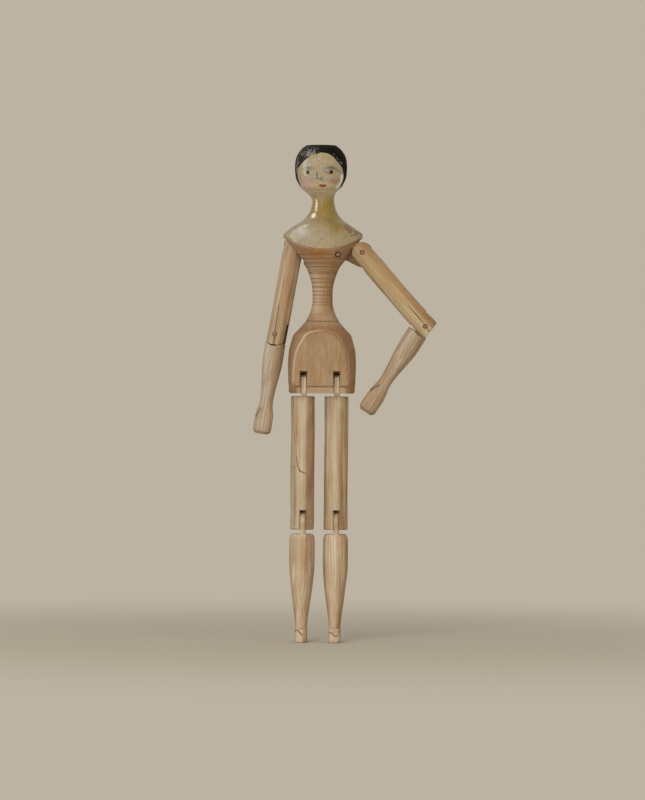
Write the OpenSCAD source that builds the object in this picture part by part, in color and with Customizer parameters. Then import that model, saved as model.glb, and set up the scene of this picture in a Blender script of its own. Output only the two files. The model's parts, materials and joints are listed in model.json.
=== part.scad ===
// Peg wooden doll. One turned stick makes the head, neck, shoulders, waist and pelvis.
// The limbs are whittled rods. Their tongues sit in sawn slots and turn on wooden pegs,
// and a flat link with a peg at each end joins each arm to the chest.
// Millimetres, +Z up, the face towards -Y, the origin in the middle of the waist.
// Left and right are the doll's own, so its left arm, the bent one, is on the +X side.

/* [Head and neck] */
// Rise of the thinnest part of the neck above the waist
neck_rise = 57.8; // [50:0.1:66]
// Height of the head above the thinnest part of the neck
head_h = 34.5; // [26:0.1:44]
// Diameter of the head
head_d = 31.3; // [24:0.1:38]
// How far the head sits to the right of the neck
head_aside = 1.6; // [0:0.1:3]
// Diameter of the flat on the crown
crown_d = 18.4; // [10:0.1:22]
// Diameter of the neck
neck_d = 13.2; // [9:0.1:18]
// How far the nose stands out of the face
nose_out = 1.1; // [0.5:0.1:2]
// Length of the nose
nose_len = 4.6; // [3:0.1:6]
// Width of the nose at its tip
nose_w = 3; // [2:0.1:4]

/* [Shoulders and waist] */
// Rise of the shoulder rim above the waist
rim_rise = 38.1; // [34:0.1:42]
// Width across the shoulder rim
rim_d = 47.8; // [44:0.1:56]
// Depth of the oval that the shoulders are shaved to
yoke_depth = 35.2; // [30:0.1:44]
// Diameter of the waist
waist_d = 12.1; // [9:0.1:16]

/* [Pelvis] */
// Drop of the underside of the pelvis below the waist
hip_drop = 56.8; // [50:0.1:66]
// Diameter of the pelvis
hip_d = 40.9; // [38:0.1:48]
// Distance from the axis to the front flat and to the back flat, at their lower ends
hip_flat = 11.4; // [10.5:0.1:14]
// Lean of the two flats, in degrees
flat_lean = 7.3; // [3:0.1:12]
// Height of the bevel under each flat
bevel_h = 3.9; // [3:0.1:6]
// How far each bevel goes in at the underside
bevel_in = 2.5; // [2:0.1:4]
// Chamfer round the underside
hip_chamfer = 1; // [0.3:0.1:2]
// Width of the line scribed round the top of the pelvis
scribe_w = 0.8; // [0.4:0.1:1.2]

/* [Shoulder joints] */
// Distance of each chest peg from the middle of the chest
chest_peg_out = 9.4; // [8:0.1:11]
// Rise of the chest pegs above the waist
chest_peg_rise = 26.4; // [24:0.1:28]
// Diameter of the chest pegs
chest_peg_d = 2.6; // [2:0.1:3.2]
// Thickness of the shoulder links
link_t = 3.4; // [2.4:0.1:4]
// Width of a link round its chest peg
link_end_d = 7.2; // [6.6:0.1:9]
// Distance between the two pegs of the left link
left_link_reach = 14.4; // [13:0.1:16]
// Distance between the two pegs of the right link
right_link_reach = 10; // [9:0.1:11]
// Rise of the left link towards the arm, in degrees
left_link_rise = 6.4; // [0:0.1:10]
// Rise of the right link towards the arm, in degrees
right_link_rise = 35.5; // [30:0.1:40]
// How far the left link's lower corner reaches below its arm peg
left_link_fan = 9.3; // [7:0.1:10]
// How far the right link's lower corner reaches below its arm peg
right_link_fan = 6.2; // [6:0.1:7]

/* [Upper arms] */
// Diameter of the left upper arm
left_arm_d = 12.7; // [11:0.1:14]
// Diameter of the right upper arm
right_arm_d = 11.9; // [10.5:0.1:13]
// Distance from shoulder peg to elbow peg, left
left_arm_len = 58.4; // [50:0.1:70]
// Distance from shoulder peg to elbow peg, right
right_arm_len = 54.8; // [48:0.1:66]
// Diameter of the shoulder and elbow pegs
arm_peg_d = 2.4; // [1.8:0.1:3]
// Radius of the upper arms' rounded lower ends about the elbow peg
cheek_r = 6.6; // [6.4:0.1:8]
// How far the left arm runs on past its elbow peg
left_cheek_end = 4.1; // [4:0.1:6]
// Skew of the left arm's lower end, longer on the inner side, in degrees
left_cheek_skew = 11; // [0:1:15]
// How far the right arm runs on past its elbow peg
right_cheek_end = 6; // [5:0.1:6.3]
// How far the elbow slots go up past the elbow peg
elbow_slot_up = 6.8; // [6.5:0.1:9]
// How far the knot at the left elbow stands out
elbow_knot = 0.8; // [0:0.1:3]
// Twist of the right elbow about the arm, in degrees
right_twist = 14; // [0:1:20]

/* [Forearms and hands] */
// Distance from elbow peg to fingertips, left
left_forearm_len = 62.8; // [54:0.1:72]
// Distance from elbow peg to fingertips, right
right_forearm_len = 60.4; // [54:0.1:72]
// Width of the left forearm at its fullest
left_forearm_d = 13; // [11:0.1:14]
// Width of the right forearm at its fullest
right_forearm_d = 12.3; // [10:0.1:13]
// How far the left forearm lies to the inner side of its elbow peg
left_forearm_aside = 1.9; // [0:0.1:2.4]
// How far the right forearm lies to the outer side of its elbow peg
right_forearm_aside = 0.3; // [0:0.1:1]
// Distance from elbow peg to wrist
wrist_drop = 39.8; // [34:0.1:44]
// Diameter of the wrists
wrist_d = 7.8; // [6:0.1:9]
// Width of the hands
hand_w = 11; // [9:0.1:13]
// Thickness of the hands
hand_t = 6.2; // [4:0.1:8]
// Fall of the left forearm's sawn shoulders from its tongue outward, in degrees
shoulder_fall = 12; // [0:1:20]
// Drop of the left forearm's coved shoulders below the elbow peg
left_forearm_top = 5.4; // [5:0.1:7]
// Drop of the right forearm's coved shoulders below the elbow peg
right_forearm_top = 4.8; // [4:0.1:6]
// Thickness of the elbow tongues
elbow_tongue_t = 4; // [3:0.1:4.6]
// Radius of the elbow tongues about the elbow peg
elbow_tongue_r = 4; // [3.4:0.1:5]

/* [Legs] */
// Distance between the tongues of the two legs
leg_spacing = 20.1; // [18:0.1:22]
// Diameter of the thighs
thigh_d = 14.6; // [12:0.1:16]
// Distance from hip peg to knee peg
thigh_len = 83.5; // [70:0.1:100]
// Distance from knee peg to sole
shin_len = 72.9; // [60:0.1:90]
// Diameter of the hip and knee pegs
leg_peg_d = 2.8; // [2:0.1:3.2]
// Rise of the hip pegs above the underside of the pelvis
hip_peg_up = 6.7; // [6:0.1:8]
// Distance of the hip pegs in front of the axis
hip_peg_front = 5; // [4:0.1:6]
// Depth of the hip slots
hip_slot_h = 13.3; // [12:0.1:16]
// How far behind the axis the hip slots keep that depth
hip_slot_reach = 8.3; // [8:0.1:9]
// Depth of the hip slots behind that, where the saw didn't reach
hip_slot_back_h = 6.8; // [6:0.1:8]
// Thickness of the hip and knee tongues
leg_tongue_t = 2.9; // [2:0.1:4]
// How far a hip tongue stands above its peg
hip_tongue_up = 4.4; // [3:0.1:5.5]
// Drop of the thigh's shoulders below the hip peg
thigh_top = 8.5; // [8.1:0.1:10]
// How far the thigh runs on past its knee peg
knee_cheek_end = 5.2; // [4.5:0.1:6.2]
// Radius of the thigh's rounded lower back corner about the knee peg
knee_cheek_r = 7; // [6.8:0.1:8]
// How far the knee slot goes up past the knee peg
knee_slot_up = 6.6; // [6.4:0.1:9]
// Radius of the knee tongues about the knee peg
knee_tongue_r = 6; // [5:0.1:6.2]
// How far a knee tongue stands above its peg
knee_tongue_up = 5.8; // [4:0.1:5.9]
// Distance of the knee pegs behind the middle of the leg
knee_peg_back = 0.7; // [0:0.1:2]
// How far both legs are cut to the right of their tongues and slots
leg_aside = 1.1; // [0:0.1:2]
// Drop of the lower leg's shoulders below the knee peg
calf_top = 7.9; // [7.4:0.1:9]
// Diameter of the calf
calf_d = 15.2; // [12:0.1:17]
// Diameter of the ankle
ankle_d = 7; // [5:0.1:9]
// Height of the foot under the ankle
foot_h = 9; // [6:0.1:12]
// Width of the foot
foot_w = 7.5; // [7.1:0.1:10]
// Length of the foot
foot_len = 17; // [12:0.1:22]
// Distance of the heel behind the middle of the leg
heel_back = 4.6; // [3.5:0.1:6]

/* [Pose] */
// Outward tilt of the left upper arm from hanging, in degrees
left_arm_tilt = 41; // [39:1:60]
// Outward tilt of the right upper arm from hanging, in degrees
right_arm_tilt = 10; // [9:1:30]
// Turn of the left forearm inward from the line of its upper arm, in degrees
left_elbow_bend = 73.8; // [60:0.1:76]
// Turn of the right forearm inward from the line of its upper arm, in degrees
right_elbow_bend = 1.7; // [0:0.1:4]

/* [Fits] */
// Gap on each side of a link or an elbow tongue in its slot
arm_slot_gap = 0.3; // [0.1:0.05:0.5]
// Gap on each side of a leg's tongue in its slot
leg_slot_gap = 0.9; // [0.2:0.05:1.2]
// Gap round an arm in its shoulder pocket
pocket_gap = 0.4; // [0.2:0.05:0.6]
// Gap between the curved end of a piece and the piece that turns round it
turn_gap = 0.35; // [0.2:0.05:0.5]
// Gap round a peg in the wood that turns on it
peg_run = 0.1; // [0.05:0.01:0.2]
// Gap round a peg in the wood that grips it
peg_seat = 0.03; // [0.01:0.01:0.05]

/* [Hidden] */

// Overrun of every cut past the surface that it opens
over = 1;
// Depth that a chest peg or a hip peg is driven into the wood beyond its slot
peg_bite = 4;
// Chamfer on the sawn ends of the limbs
end_chamfer = 0.6;
// Lowest and highest outward tilt that each shoulder pocket has room for, in degrees
left_pocket_tilts = [36, 90];
right_pocket_tilts = [6, 58];
// How far each link lifts above its rest, and drops below it, in degrees
left_link_lift = 6;
right_link_lift = 10;
link_drop = 2;
// Faces round an upper arm or a thigh, and round a forearm or a lower leg
rod_sides = 16;
shaped_sides = 20;
// Points drawn in each stretch of a turned outline, round each corner of a link, and round the neck
turned_steps = 3;
corner_steps = 8;
neck_sides = 48;
$fn = 72;

wood = "#c79a68";
dark_wood = "#8a5f3c";
pale_wood = "#d8b07c";

waist_r = waist_d / 2;
hip_r = hip_d / 2;
rim_r = rim_d / 2;
neck_r = neck_d / 2;
head_r = head_d / 2;
body_w = 2 * max(hip_d, rim_d);
link_end_r = link_end_d / 2;
thigh_r = thigh_d / 2;
hip_peg_z = hip_peg_up - hip_drop;
hip_slot_w = leg_tongue_t + 2 * leg_slot_gap;
link_slot_w = link_t + 2 * arm_slot_gap;
elbow_slot_w = elbow_tongue_t + 2 * arm_slot_gap;

// Turned outlines, from the lower end of each stretch to its upper end:
// the share of the height, then the share of the step between the two radii
pelvis_shares = [[0, 0.965], [0.06, 0.965], [0.14, 0.986], [0.28, 1], [0.37, 0.993],
    [0.46, 0.959], [0.555, 0.863], [0.618, 0.78], [0.68, 0.553], [0.76, 0.292],
    [0.838, 0.124], [0.919, 0.024], [1, 0]];
chest_shares = [[0, 0], [0.14, 0.005], [0.29, 0.062], [0.478, 0.209], [0.575, 0.36],
    [0.71, 0.57], [0.84, 0.8], [0.95, 0.97], [1, 1]];
yoke_shares = [[0, 1], [0.07, 0.975], [0.183, 0.8], [0.365, 0.497], [0.513, 0.274],
    [0.731, 0.092], [1, 0]];
// The head, from where the neck has bent aside to it: the share of its height above the
// neck, then the share of the step between the two radii
head_shares = [[0.214, 0.39], [0.262, 0.61], [0.336, 0.77], [0.427, 0.935], [0.556, 1],
    [0.672, 1], [0.786, 0.935], [0.872, 0.77], [0.943, 0.555], [0.985, 0.34]];
// The bent neck: the share of that height, of the step in radius, and of the shift aside
bend_shares = [[0, 0, 0], [0.04, 0.008, 0.1], [0.085, 0.033, 0.28], [0.122, 0.1, 0.52],
    [0.157, 0.196, 0.74], [0.186, 0.285, 0.9], [0.214, 0.39, 1]];
// How much fuller the bent neck is than the two turned ends that it joins
neck_full = 1.006;
// Where the scribed line and the tip of the nose lie on those outlines
scribe_shares = [0.76, 0.292];
nose_shares = [0.4, 0.9];
// Lower and upper limit of the shavings that make the shoulders oval, as shares of the
// height from the waist to the rim and of the height from the rim to the neck
shaving_shares = [0.7, 0.5];
// How steeply a nose runs out, and how much less deep a tongue is than its rounded top
nose_taper = 3;
tongue_share = 0.92;
// Half the height of an elbow knot, as a share of the radius of the rounded end
knot_share = 0.5;

// Forearm from its shoulders to the wrist: share of the length, share of the step in width
forearm_shares = [[0, 0.86], [0.05, 0.97], [0.25, 1], [0.42, 0.88], [0.6, 0.58], [0.79, 0.22], [1, 0]];
// Hand from the wrist to the fingertips: share of the length, then of the width and thickness
hand_shares = [[0.18, 0.2, 0.15], [0.36, 0.72, 0.6], [0.55, 1, 1], [0.78, 1, 1], [0.92, 0.9, 0.6]];
fingertip_shares = [0.66, 0.5];
hand_power = 2.8;
// Lower leg from its shoulders to the ankle: share of the length, share of the step in width
calf_shares = [[0, 0.72], [0.035, 0.94], [0.09, 1], [0.36, 1], [0.547, 0.78], [0.736, 0.45],
    [0.889, 0.15], [1, 0]];
// How much of the calf's swelling goes to the back of the leg
calf_back_share = 0.62;
// Foot from the ankle down: share of the height, then the reach of the toe, and the width
foot_shares = [[0.1, 0.3, 1], [0.3, 0.55, 1], [0.55, 0.82, 1], [0.78, 1, 1], [1, 0.98, 0.97]];
foot_power = 3;

// Blends between two values, and a smooth line through the points of an outline
function mix(a, b, t) = a + (b - a) * t;
function blend(a, b, c, d, t) = (2 * b + (c - a) * t + (2 * a - 5 * b + 4 * c - d) * t * t
    + (3 * b - a - 3 * c + d) * t * t * t) / 2;
function smooth(p) = concat(
    [for (i = [0 : len(p) - 2], k = [0 : turned_steps - 1])
        blend(p[max(i - 1, 0)], p[i], p[i + 1], p[min(i + 2, len(p) - 1)], k / turned_steps)],
    [p[len(p) - 1]]);

// A stretch of the turned outline between two heights and two radii
function stretch(shares, low, high, r_from, r_to) =
    [for (s = smooth(shares)) [mix(r_from, r_to, s[1]), mix(low, high, s[0])]];

// Points along an arc about a centre
function arc(centre, r, from, to) =
    [for (k = [0 : corner_steps]) centre + r * [cos(mix(from, to, k / corner_steps)),
        sin(mix(from, to, k / corner_steps))]];

// Points round one section of a limb. A power of 2 is an ellipse, and more is squarer
function signed_power(v, e) = sign(v) * pow(abs(v), e);
function section(z, w, d, sides, power = 2, x = 0, y = 0) =
    [for (j = [0 : sides - 1]) let (t = 360 * (j + 1 / 2) / sides)
        [x + w / 2 * signed_power(cos(t), 2 / power), y + d / 2 * signed_power(sin(t), 2 / power), z]];

// Where a link holds its arm, across and up from the waist, when it rises at an angle
function link_tip(reach, rise) =
    [chest_peg_out + reach * cos(rise), chest_peg_rise + reach * sin(rise)];

// A closed skin over sections that are listed from the top down
module loft(sections) {
    n = len(sections[0]);
    m = len(sections);
    polyhedron(
        points = [for (s = sections) each s],
        faces = concat(
            [[for (j = [n - 1 : -1 : 0]) j]],
            [for (i = [0 : m - 2], j = [0 : n - 1], half = [0, 1])
                let (a = i * n + j, b = i * n + (j + 1) % n)
                half == 0 ? [a, b, b + n] : [a, b + n, a + n]],
            [[for (j = [0 : n - 1]) (m - 1) * n + j]]));
}

// Draws on the doll's left side, at +X, and mirrors that for the right side
module on_side(left) {
    if (left) children();
    else mirror([1, 0, 0]) children();
}

// A rod along Y, as the pegs of the arms lie
module rod_y(r, length) {
    rotate([90, 0, 0]) cylinder(r = r, h = length, center = true);
}

// A rod along X, as the pegs of the legs lie
module rod_x(r, length) {
    rotate([0, 90, 0]) cylinder(r = r, h = length, center = true);
}

// A flat outline stood up in the plane of the arms
module upright(thickness) {
    rotate([90, 0, 0]) linear_extrude(height = thickness, center = true) children();
}

module turned_body() {
    rotate_extrude() polygon(concat(
        [[0, -hip_drop], [mix(waist_r, hip_r, pelvis_shares[0][1]) - hip_chamfer, -hip_drop]],
        [for (p = stretch(pelvis_shares, -hip_drop, 0, waist_r, hip_r))
            if (p[1] >= hip_chamfer - hip_drop) p],
        stretch(chest_shares, 0, rim_rise, waist_r, rim_r),
        stretch(yoke_shares, rim_rise, neck_rise, neck_r, rim_r),
        [[0, neck_rise]]));
}

// The neck above its thinnest part, bent to the side that the head sits on
module bent_neck() {
    loft([for (i = [len(bend_shares) - 1 : -1 : 0])
        let (s = bend_shares[i], d = 2 * neck_full * mix(neck_r, head_r, s[1]))
        section(neck_rise + s[0] * head_h, d, d, neck_sides, x = -s[2] * head_aside)]);
}

module head() {
    low = neck_rise + head_shares[0][0] * head_h;
    translate([-head_aside, 0, 0]) {
        rotate_extrude() polygon(concat(
            [[0, low]],
            stretch(head_shares, neck_rise, neck_rise + head_h, neck_r, head_r),
            [[crown_d / 2, neck_rise + head_h], [0, neck_rise + head_h]]));
        nose();
    }
}

module nose() {
    out = mix(neck_r, head_r, nose_shares[1]) + nose_out - nose_w / 2;
    translate([0, -out, neck_rise + nose_shares[0] * head_h])
        cylinder(d1 = nose_w, d2 = nose_w / nose_taper, h = nose_len);
}

// All the wood outside the oval that the shoulders are shaved to
module yoke_shavings() {
    low = mix(0, rim_rise, shaving_shares[0]);
    difference() {
        translate([-body_w / 2, -body_w / 2, low])
            cube([body_w, body_w, mix(rim_rise, neck_rise, shaving_shares[1]) - low]);
        linear_extrude(height = neck_rise)
            polygon([for (t = [0 : 360 / $fn : 359])
                [(rim_r + over) * cos(t), yoke_depth / 2 * sin(t)]]);
    }
}

// The wood cut away in front of the pelvis for its leaning flat and the bevel under it
module front_flat() {
    translate([0, -hip_flat, bevel_h - hip_drop]) {
        rotate([flat_lean, 0, 0]) translate([-body_w / 2, -body_w, -body_w])
            cube([body_w, body_w, body_w + hip_drop]);
        rotate([atan(bevel_in / bevel_h), 0, 0]) translate([-body_w / 2, -body_w, -body_w])
            cube([body_w, body_w, body_w]);
    }
}

module scribed_line() {
    translate([0, 0, -hip_drop * (1 - scribe_shares[0])]) rotate_extrude()
        translate([mix(waist_r, hip_r, scribe_shares[1]), 0])
            rotate(45) square(scribe_w / sqrt(2), center = true);
}

// The slot for the top of an arm, closed above, open at the side and below
module shoulder_pocket(arm_d, reach, rise, lift, tilts) {
    r = arm_d / 2 + pocket_gap;
    upright(2 * r) hull()
        for (angle = [rise, rise + lift], tilt = tilts, run = [0, rim_r])
            translate(link_tip(reach, angle) + run * [sin(tilt), -cos(tilt)]) circle(r);
}

// The flat outline of a link, with its chest peg at the origin and its arm peg out along X
module link_outline(reach, fan, tip_r) {
    polygon(concat(
        arc([0, 0], link_end_r, 90, 315),
        arc([reach, 0], fan, 250, 270),
        arc([reach, 0], tip_r, 320, 450)));
}

// The deeper slot that a link swings in
module link_slot(reach, rise, lift, fan, tip_r) {
    upright(link_slot_w) hull()
        for (angle = [rise - link_drop, rise + lift])
            translate([chest_peg_out, chest_peg_rise]) rotate(angle)
                offset(turn_gap) link_outline(reach, fan, tip_r);
}

// A chest peg or its bore: driven from the front on the left, and from the back on the right
module chest_rod(r, left) {
    on_side(left) translate([chest_peg_out, 0, chest_peg_rise])
        rotate([left ? 90 : -90, 0, 0])
            translate([0, 0, -link_slot_w / 2 - peg_bite])
                cylinder(r = r, h = link_slot_w / 2 + peg_bite + rim_r);
}

// A hip peg or its bore, driven in from the side of the pelvis
module hip_rod(r) {
    inner = leg_spacing / 2 - hip_slot_w / 2 - peg_bite;
    translate([inner, -hip_peg_front, hip_peg_z]) rotate([0, 90, 0])
        cylinder(r = r, h = hip_d);
}

module hip_slot() {
    translate([leg_spacing / 2 - hip_slot_w / 2, -body_w / 2, -hip_drop - over]) {
        cube([hip_slot_w, body_w / 2 + hip_slot_reach, hip_slot_h + over]);
        cube([hip_slot_w, body_w, hip_slot_back_h + over]);
    }
}

module torso() {
    color(wood) difference() {
        union() {
            turned_body();
            bent_neck();
            head();
        }
        yoke_shavings();
        front_flat();
        mirror([0, 1, 0]) front_flat();
        scribed_line();
        shoulder_pocket(left_arm_d, left_link_reach, left_link_rise, left_link_lift, left_pocket_tilts);
        link_slot(left_link_reach, left_link_rise, left_link_lift, left_link_fan,
            left_arm_d / 2);
        mirror([1, 0, 0]) {
            shoulder_pocket(right_arm_d, right_link_reach, right_link_rise, right_link_lift,
                right_pocket_tilts);
            link_slot(right_link_reach, right_link_rise, right_link_lift, right_link_fan,
                right_arm_d / 2);
        }
        for (left = [true, false]) {
            chest_rod(chest_peg_d / 2 + peg_seat, left);
            on_side(left) {
                hip_slot();
                hip_rod(leg_peg_d / 2 + peg_seat);
            }
        }
    }
}

module shoulder_link(reach, rise, fan, arm_d) {
    color(dark_wood) translate([chest_peg_out, 0, chest_peg_rise]) rotate([0, -rise, 0])
        difference() {
            upright(link_t) link_outline(reach, fan, arm_d / 2);
            rod_y(chest_peg_d / 2 + peg_run, link_t + over);
            translate([reach, 0, 0]) rod_y(arm_peg_d / 2 + peg_run, link_t + over);
        }
}

// Stands a left arm piece, drawn hanging from its shoulder peg, at its place and tilt
module at_shoulder(reach, rise, tilt) {
    tip = link_tip(reach, rise);
    translate([tip[0], 0, tip[1]]) rotate([0, -tilt, 0]) children();
}

// Stands a piece at the elbow of a hanging arm, with its peg turned about the arm
module at_elbow(length, twist) {
    translate([0, 0, -length]) rotate([0, 0, twist]) children();
}

// The rod of an upper arm. A knot stands out at the outer side of the elbow
module arm_rod(d, length, cheek_end, knot, skew = 0) {
    end = -length - cheek_end - d / 2 * tan(skew);
    loft([
        section(d / 2, d, d, rod_sides),
        section(d - length, d, d, rod_sides),
        section(d / 4 - length, d + knot / 2, d, rod_sides, x = knot / 4),
        section(-length, d + knot, d, rod_sides, x = knot / 2),
        section(end + end_chamfer, d + knot / 2, d, rod_sides, x = knot / 4),
        section(end, d + knot / 2 - 2 * end_chamfer, d - 2 * end_chamfer, rod_sides,
            x = knot / 4)]);
}

// What is left of an upper arm once its top is rounded about the shoulder peg
// and its lower end about the elbow peg
module arm_rounding(d, length, twist, knot) {
    w = 2 * d;
    intersection() {
        union() {
            rod_y(d / 2, w);
            translate([-w / 2, -w / 2, -2 * length]) cube([w, w, 2 * length]);
        }
        at_elbow(length, twist) union() {
            rod_y(cheek_r, w);
            translate([-w / 2, -w / 2, 0]) cube([w, w, 2 * length]);
            if (knot > 0) translate([0, -w / 2, -cheek_r * knot_share])
                cube([w / 2, w, cheek_r]);
        }
    }
}

module upper_arm(d, length, cheek_end, fan, twist, knot, skew) {
    color(wood) difference() {
        intersection() {
            arm_rod(d, length, cheek_end, knot, skew);
            arm_rounding(d, length, twist, knot);
        }
        if (skew > 0) translate([0, 0, -length - cheek_end]) rotate([0, -skew, 0])
            translate([-d, -d, -d]) cube([2 * d, 2 * d, d]);
        translate([-d, -link_slot_w / 2, -fan - turn_gap])
            cube([2 * d, link_slot_w, fan + turn_gap + d]);
        rod_y(arm_peg_d / 2 + peg_seat, d + 2 * over);
        at_elbow(length, twist) {
            translate([-d, -elbow_slot_w / 2, -cheek_end - over])
                cube([2 * d, elbow_slot_w, cheek_end + over + elbow_slot_up]);
            rod_y(arm_peg_d / 2 + peg_seat, d + 2 * over);
        }
    }
}

// Forearm and hand, hanging from the elbow peg, with their middle aside of it along X
module forearm_blank(length, d, top, aside) {
    run = wrist_drop - top;
    hand = length - wrist_drop;
    loft(concat(
        [for (s = forearm_shares) let (w = mix(wrist_d, d, s[1]))
            section(-top - run * s[0], w, w, shaped_sides, x = aside)],
        [for (s = hand_shares)
            section(-wrist_drop - hand * s[0], mix(wrist_d, hand_w, s[1]),
                mix(wrist_d, hand_t, s[2]), shaped_sides, mix(2, hand_power, s[2]), x = aside)],
        [section(-length, hand_w * fingertip_shares[0], hand_t * fingertip_shares[1],
            shaped_sides, hand_power, x = aside)]));
}

module forearm(length, d, top, aside, fall) {
    w = 2 * elbow_tongue_r * tongue_share;
    color(pale_wood) difference() {
        union() {
            difference() {
                forearm_blank(length, d, top, aside);
                rod_y(cheek_r + turn_gap, 2 * d);
                if (fall > 0) for (back = [0, 1]) mirror([0, back, 0])
                    translate([-d, -elbow_tongue_t / 2, -top]) rotate([fall, 0, 0])
                        translate([0, -d, 0]) cube([2 * d, d, d]);
            }
            rod_y(elbow_tongue_r, elbow_tongue_t);
            translate([-w / 2, -elbow_tongue_t / 2, -cheek_r - 2 * over])
                cube([w, elbow_tongue_t, cheek_r + 2 * over]);
        }
        rod_y(arm_peg_d / 2 + peg_run, 2 * d);
    }
}

// The rod of a thigh, hanging from its hip peg, with its middle behind the peg
module thigh_rod(aside) {
    bottom = thigh_len + knee_cheek_end;
    translate([aside, hip_peg_front, 0]) loft([
        section(-thigh_top, thigh_d - 2 * end_chamfer, thigh_d - 2 * end_chamfer, rod_sides),
        section(-thigh_top - end_chamfer, thigh_d, thigh_d, rod_sides),
        section(end_chamfer - bottom, thigh_d, thigh_d, rod_sides),
        section(-bottom, thigh_d - 2 * end_chamfer, thigh_d - 2 * end_chamfer, rod_sides)]);
}

// Stands a piece at the knee peg of a thigh that hangs from its hip peg
module at_knee() {
    translate([0, hip_peg_front + knee_peg_back, -thigh_len]) children();
}

module thigh(aside) {
    depth = thigh_d * cos(180 / rod_sides) * tongue_share;
    w = 2 * thigh_d;
    color(wood) difference() {
        union() {
            intersection() {
                thigh_rod(aside);
                at_knee() union() {
                    rod_x(knee_cheek_r, w);
                    translate([-w / 2, -w / 2, 0]) cube([w, w, thigh_len]);
                    translate([-w / 2, -w / 2, -knee_cheek_end - over]) cube([w, w / 2, thigh_len]);
                }
            }
            translate([-leg_tongue_t / 2, hip_peg_front - depth / 2, -thigh_top - over])
                cube([leg_tongue_t, depth, thigh_top + over + hip_tongue_up]);
        }
        rod_x(leg_peg_d / 2 + peg_run, w);
        at_knee() {
            translate([-hip_slot_w / 2, -thigh_d, -knee_cheek_end - over])
                cube([hip_slot_w, 2 * thigh_d, knee_cheek_end + over + knee_slot_up]);
            rod_x(leg_peg_d / 2 + peg_seat, w);
        }
    }
}

// Calf and foot, hanging from the knee peg, with their middle in front of it
module leg_blank(aside) {
    run = shin_len - foot_h - calf_top;
    translate([aside, -knee_peg_back, 0]) loft(concat(
        [for (s = calf_shares) let (w = mix(ankle_d, calf_d, s[1]))
            section(-calf_top - run * s[0], w, w, shaped_sides,
                y = (w - ankle_d) * (calf_back_share - 1 / 2))],
        [for (s = foot_shares) let (front = mix(ankle_d / 2, foot_len - heel_back, s[1]))
            section(foot_h * (1 - s[0]) - shin_len, foot_w * s[2], front + heel_back,
                shaped_sides, foot_power, y = (heel_back - front) / 2)]));
}

module lower_leg(aside) {
    w = 2 * knee_tongue_r * tongue_share;
    root = calf_top + 2 * over;
    color(pale_wood) difference() {
        union() {
            leg_blank(aside);
            intersection() {
                union() {
                    rod_x(knee_tongue_r, leg_tongue_t);
                    translate([-leg_tongue_t / 2, -w / 2, -root])
                        cube([leg_tongue_t, w, root]);
                }
                translate([-thigh_r, -thigh_r, -root])
                    cube([thigh_d, thigh_d, root + knee_tongue_up]);
            }
        }
        rod_x(leg_peg_d / 2 + peg_run, 2 * thigh_d);
    }
}

// Where the middle of a leg lies beside its tongues, on the side that is then mirrored
function aside_of(left) = left ? -leg_aside : leg_aside;

// Stands a leg piece, drawn hanging from its hip peg, in the pelvis
module at_hip(left) {
    on_side(left) translate([leg_spacing / 2, -hip_peg_front, hip_peg_z]) children();
}

module chest_peg(left) {
    color(dark_wood) intersection() {
        chest_rod(chest_peg_d / 2, left);
        turned_body();
    }
}

module hip_peg(left) {
    color(dark_wood) on_side(left) intersection() {
        hip_rod(leg_peg_d / 2);
        turned_body();
    }
}

module knee_peg(left) {
    color(dark_wood) at_hip(left) intersection() {
        at_knee() rod_x(leg_peg_d / 2, 2 * thigh_d);
        thigh_rod(aside_of(left));
    }
}

module arm_peg(d, length, cheek_end, knot, twist, elbow) {
    color(dark_wood) intersection() {
        arm_rod(d, length, cheek_end, knot);
        if (elbow) at_elbow(length, twist) rod_y(arm_peg_d / 2, 2 * d);
        else rod_y(arm_peg_d / 2, 2 * d);
    }
}

// Each arm piece at its place on the doll, from the values of its own side
module on_left_arm() {
    at_shoulder(left_link_reach, left_link_rise, left_arm_tilt) children();
}

module on_right_arm() {
    mirror([1, 0, 0]) at_shoulder(right_link_reach, right_link_rise, right_arm_tilt) children();
}

torso();
shoulder_link(left_link_reach, left_link_rise, left_link_fan, left_arm_d);  // left_shoulder_link
mirror([1, 0, 0]) shoulder_link(right_link_reach, right_link_rise, right_link_fan, right_arm_d);  // right_shoulder_link
on_left_arm() upper_arm(left_arm_d, left_arm_len, left_cheek_end, left_link_fan, 0,  // left_upper_arm
        elbow_knot, left_cheek_skew);
on_right_arm() upper_arm(right_arm_d, right_arm_len, right_cheek_end, right_link_fan,  // right_upper_arm
        right_twist, 0, 0);
on_left_arm() at_elbow(left_arm_len, 0) rotate([0, left_elbow_bend, 0])  // left_forearm
        forearm(left_forearm_len, left_forearm_d, left_forearm_top, -left_forearm_aside,
            shoulder_fall);
on_right_arm() at_elbow(right_arm_len, right_twist) rotate([0, right_elbow_bend, 0])  // right_forearm
        forearm(right_forearm_len, right_forearm_d, right_forearm_top, right_forearm_aside, 0);
at_hip(true) thigh(aside_of(true));  // left_thigh
at_hip(false) thigh(aside_of(false));  // right_thigh
at_hip(true) at_knee() lower_leg(aside_of(true));  // left_lower_leg
at_hip(false) at_knee() lower_leg(aside_of(false));  // right_lower_leg
chest_peg(true);  // left_chest_peg
chest_peg(false);  // right_chest_peg
on_left_arm() arm_peg(left_arm_d, left_arm_len, left_cheek_end, elbow_knot, 0, false);  // left_shoulder_peg
on_right_arm() arm_peg(right_arm_d, right_arm_len, right_cheek_end, 0, right_twist, false);  // right_shoulder_peg
on_left_arm() arm_peg(left_arm_d, left_arm_len, left_cheek_end, elbow_knot, 0, true);  // left_elbow_peg
on_right_arm() arm_peg(right_arm_d, right_arm_len, right_cheek_end, 0, right_twist, true);  // right_elbow_peg
hip_peg(true);  // left_hip_peg
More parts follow.
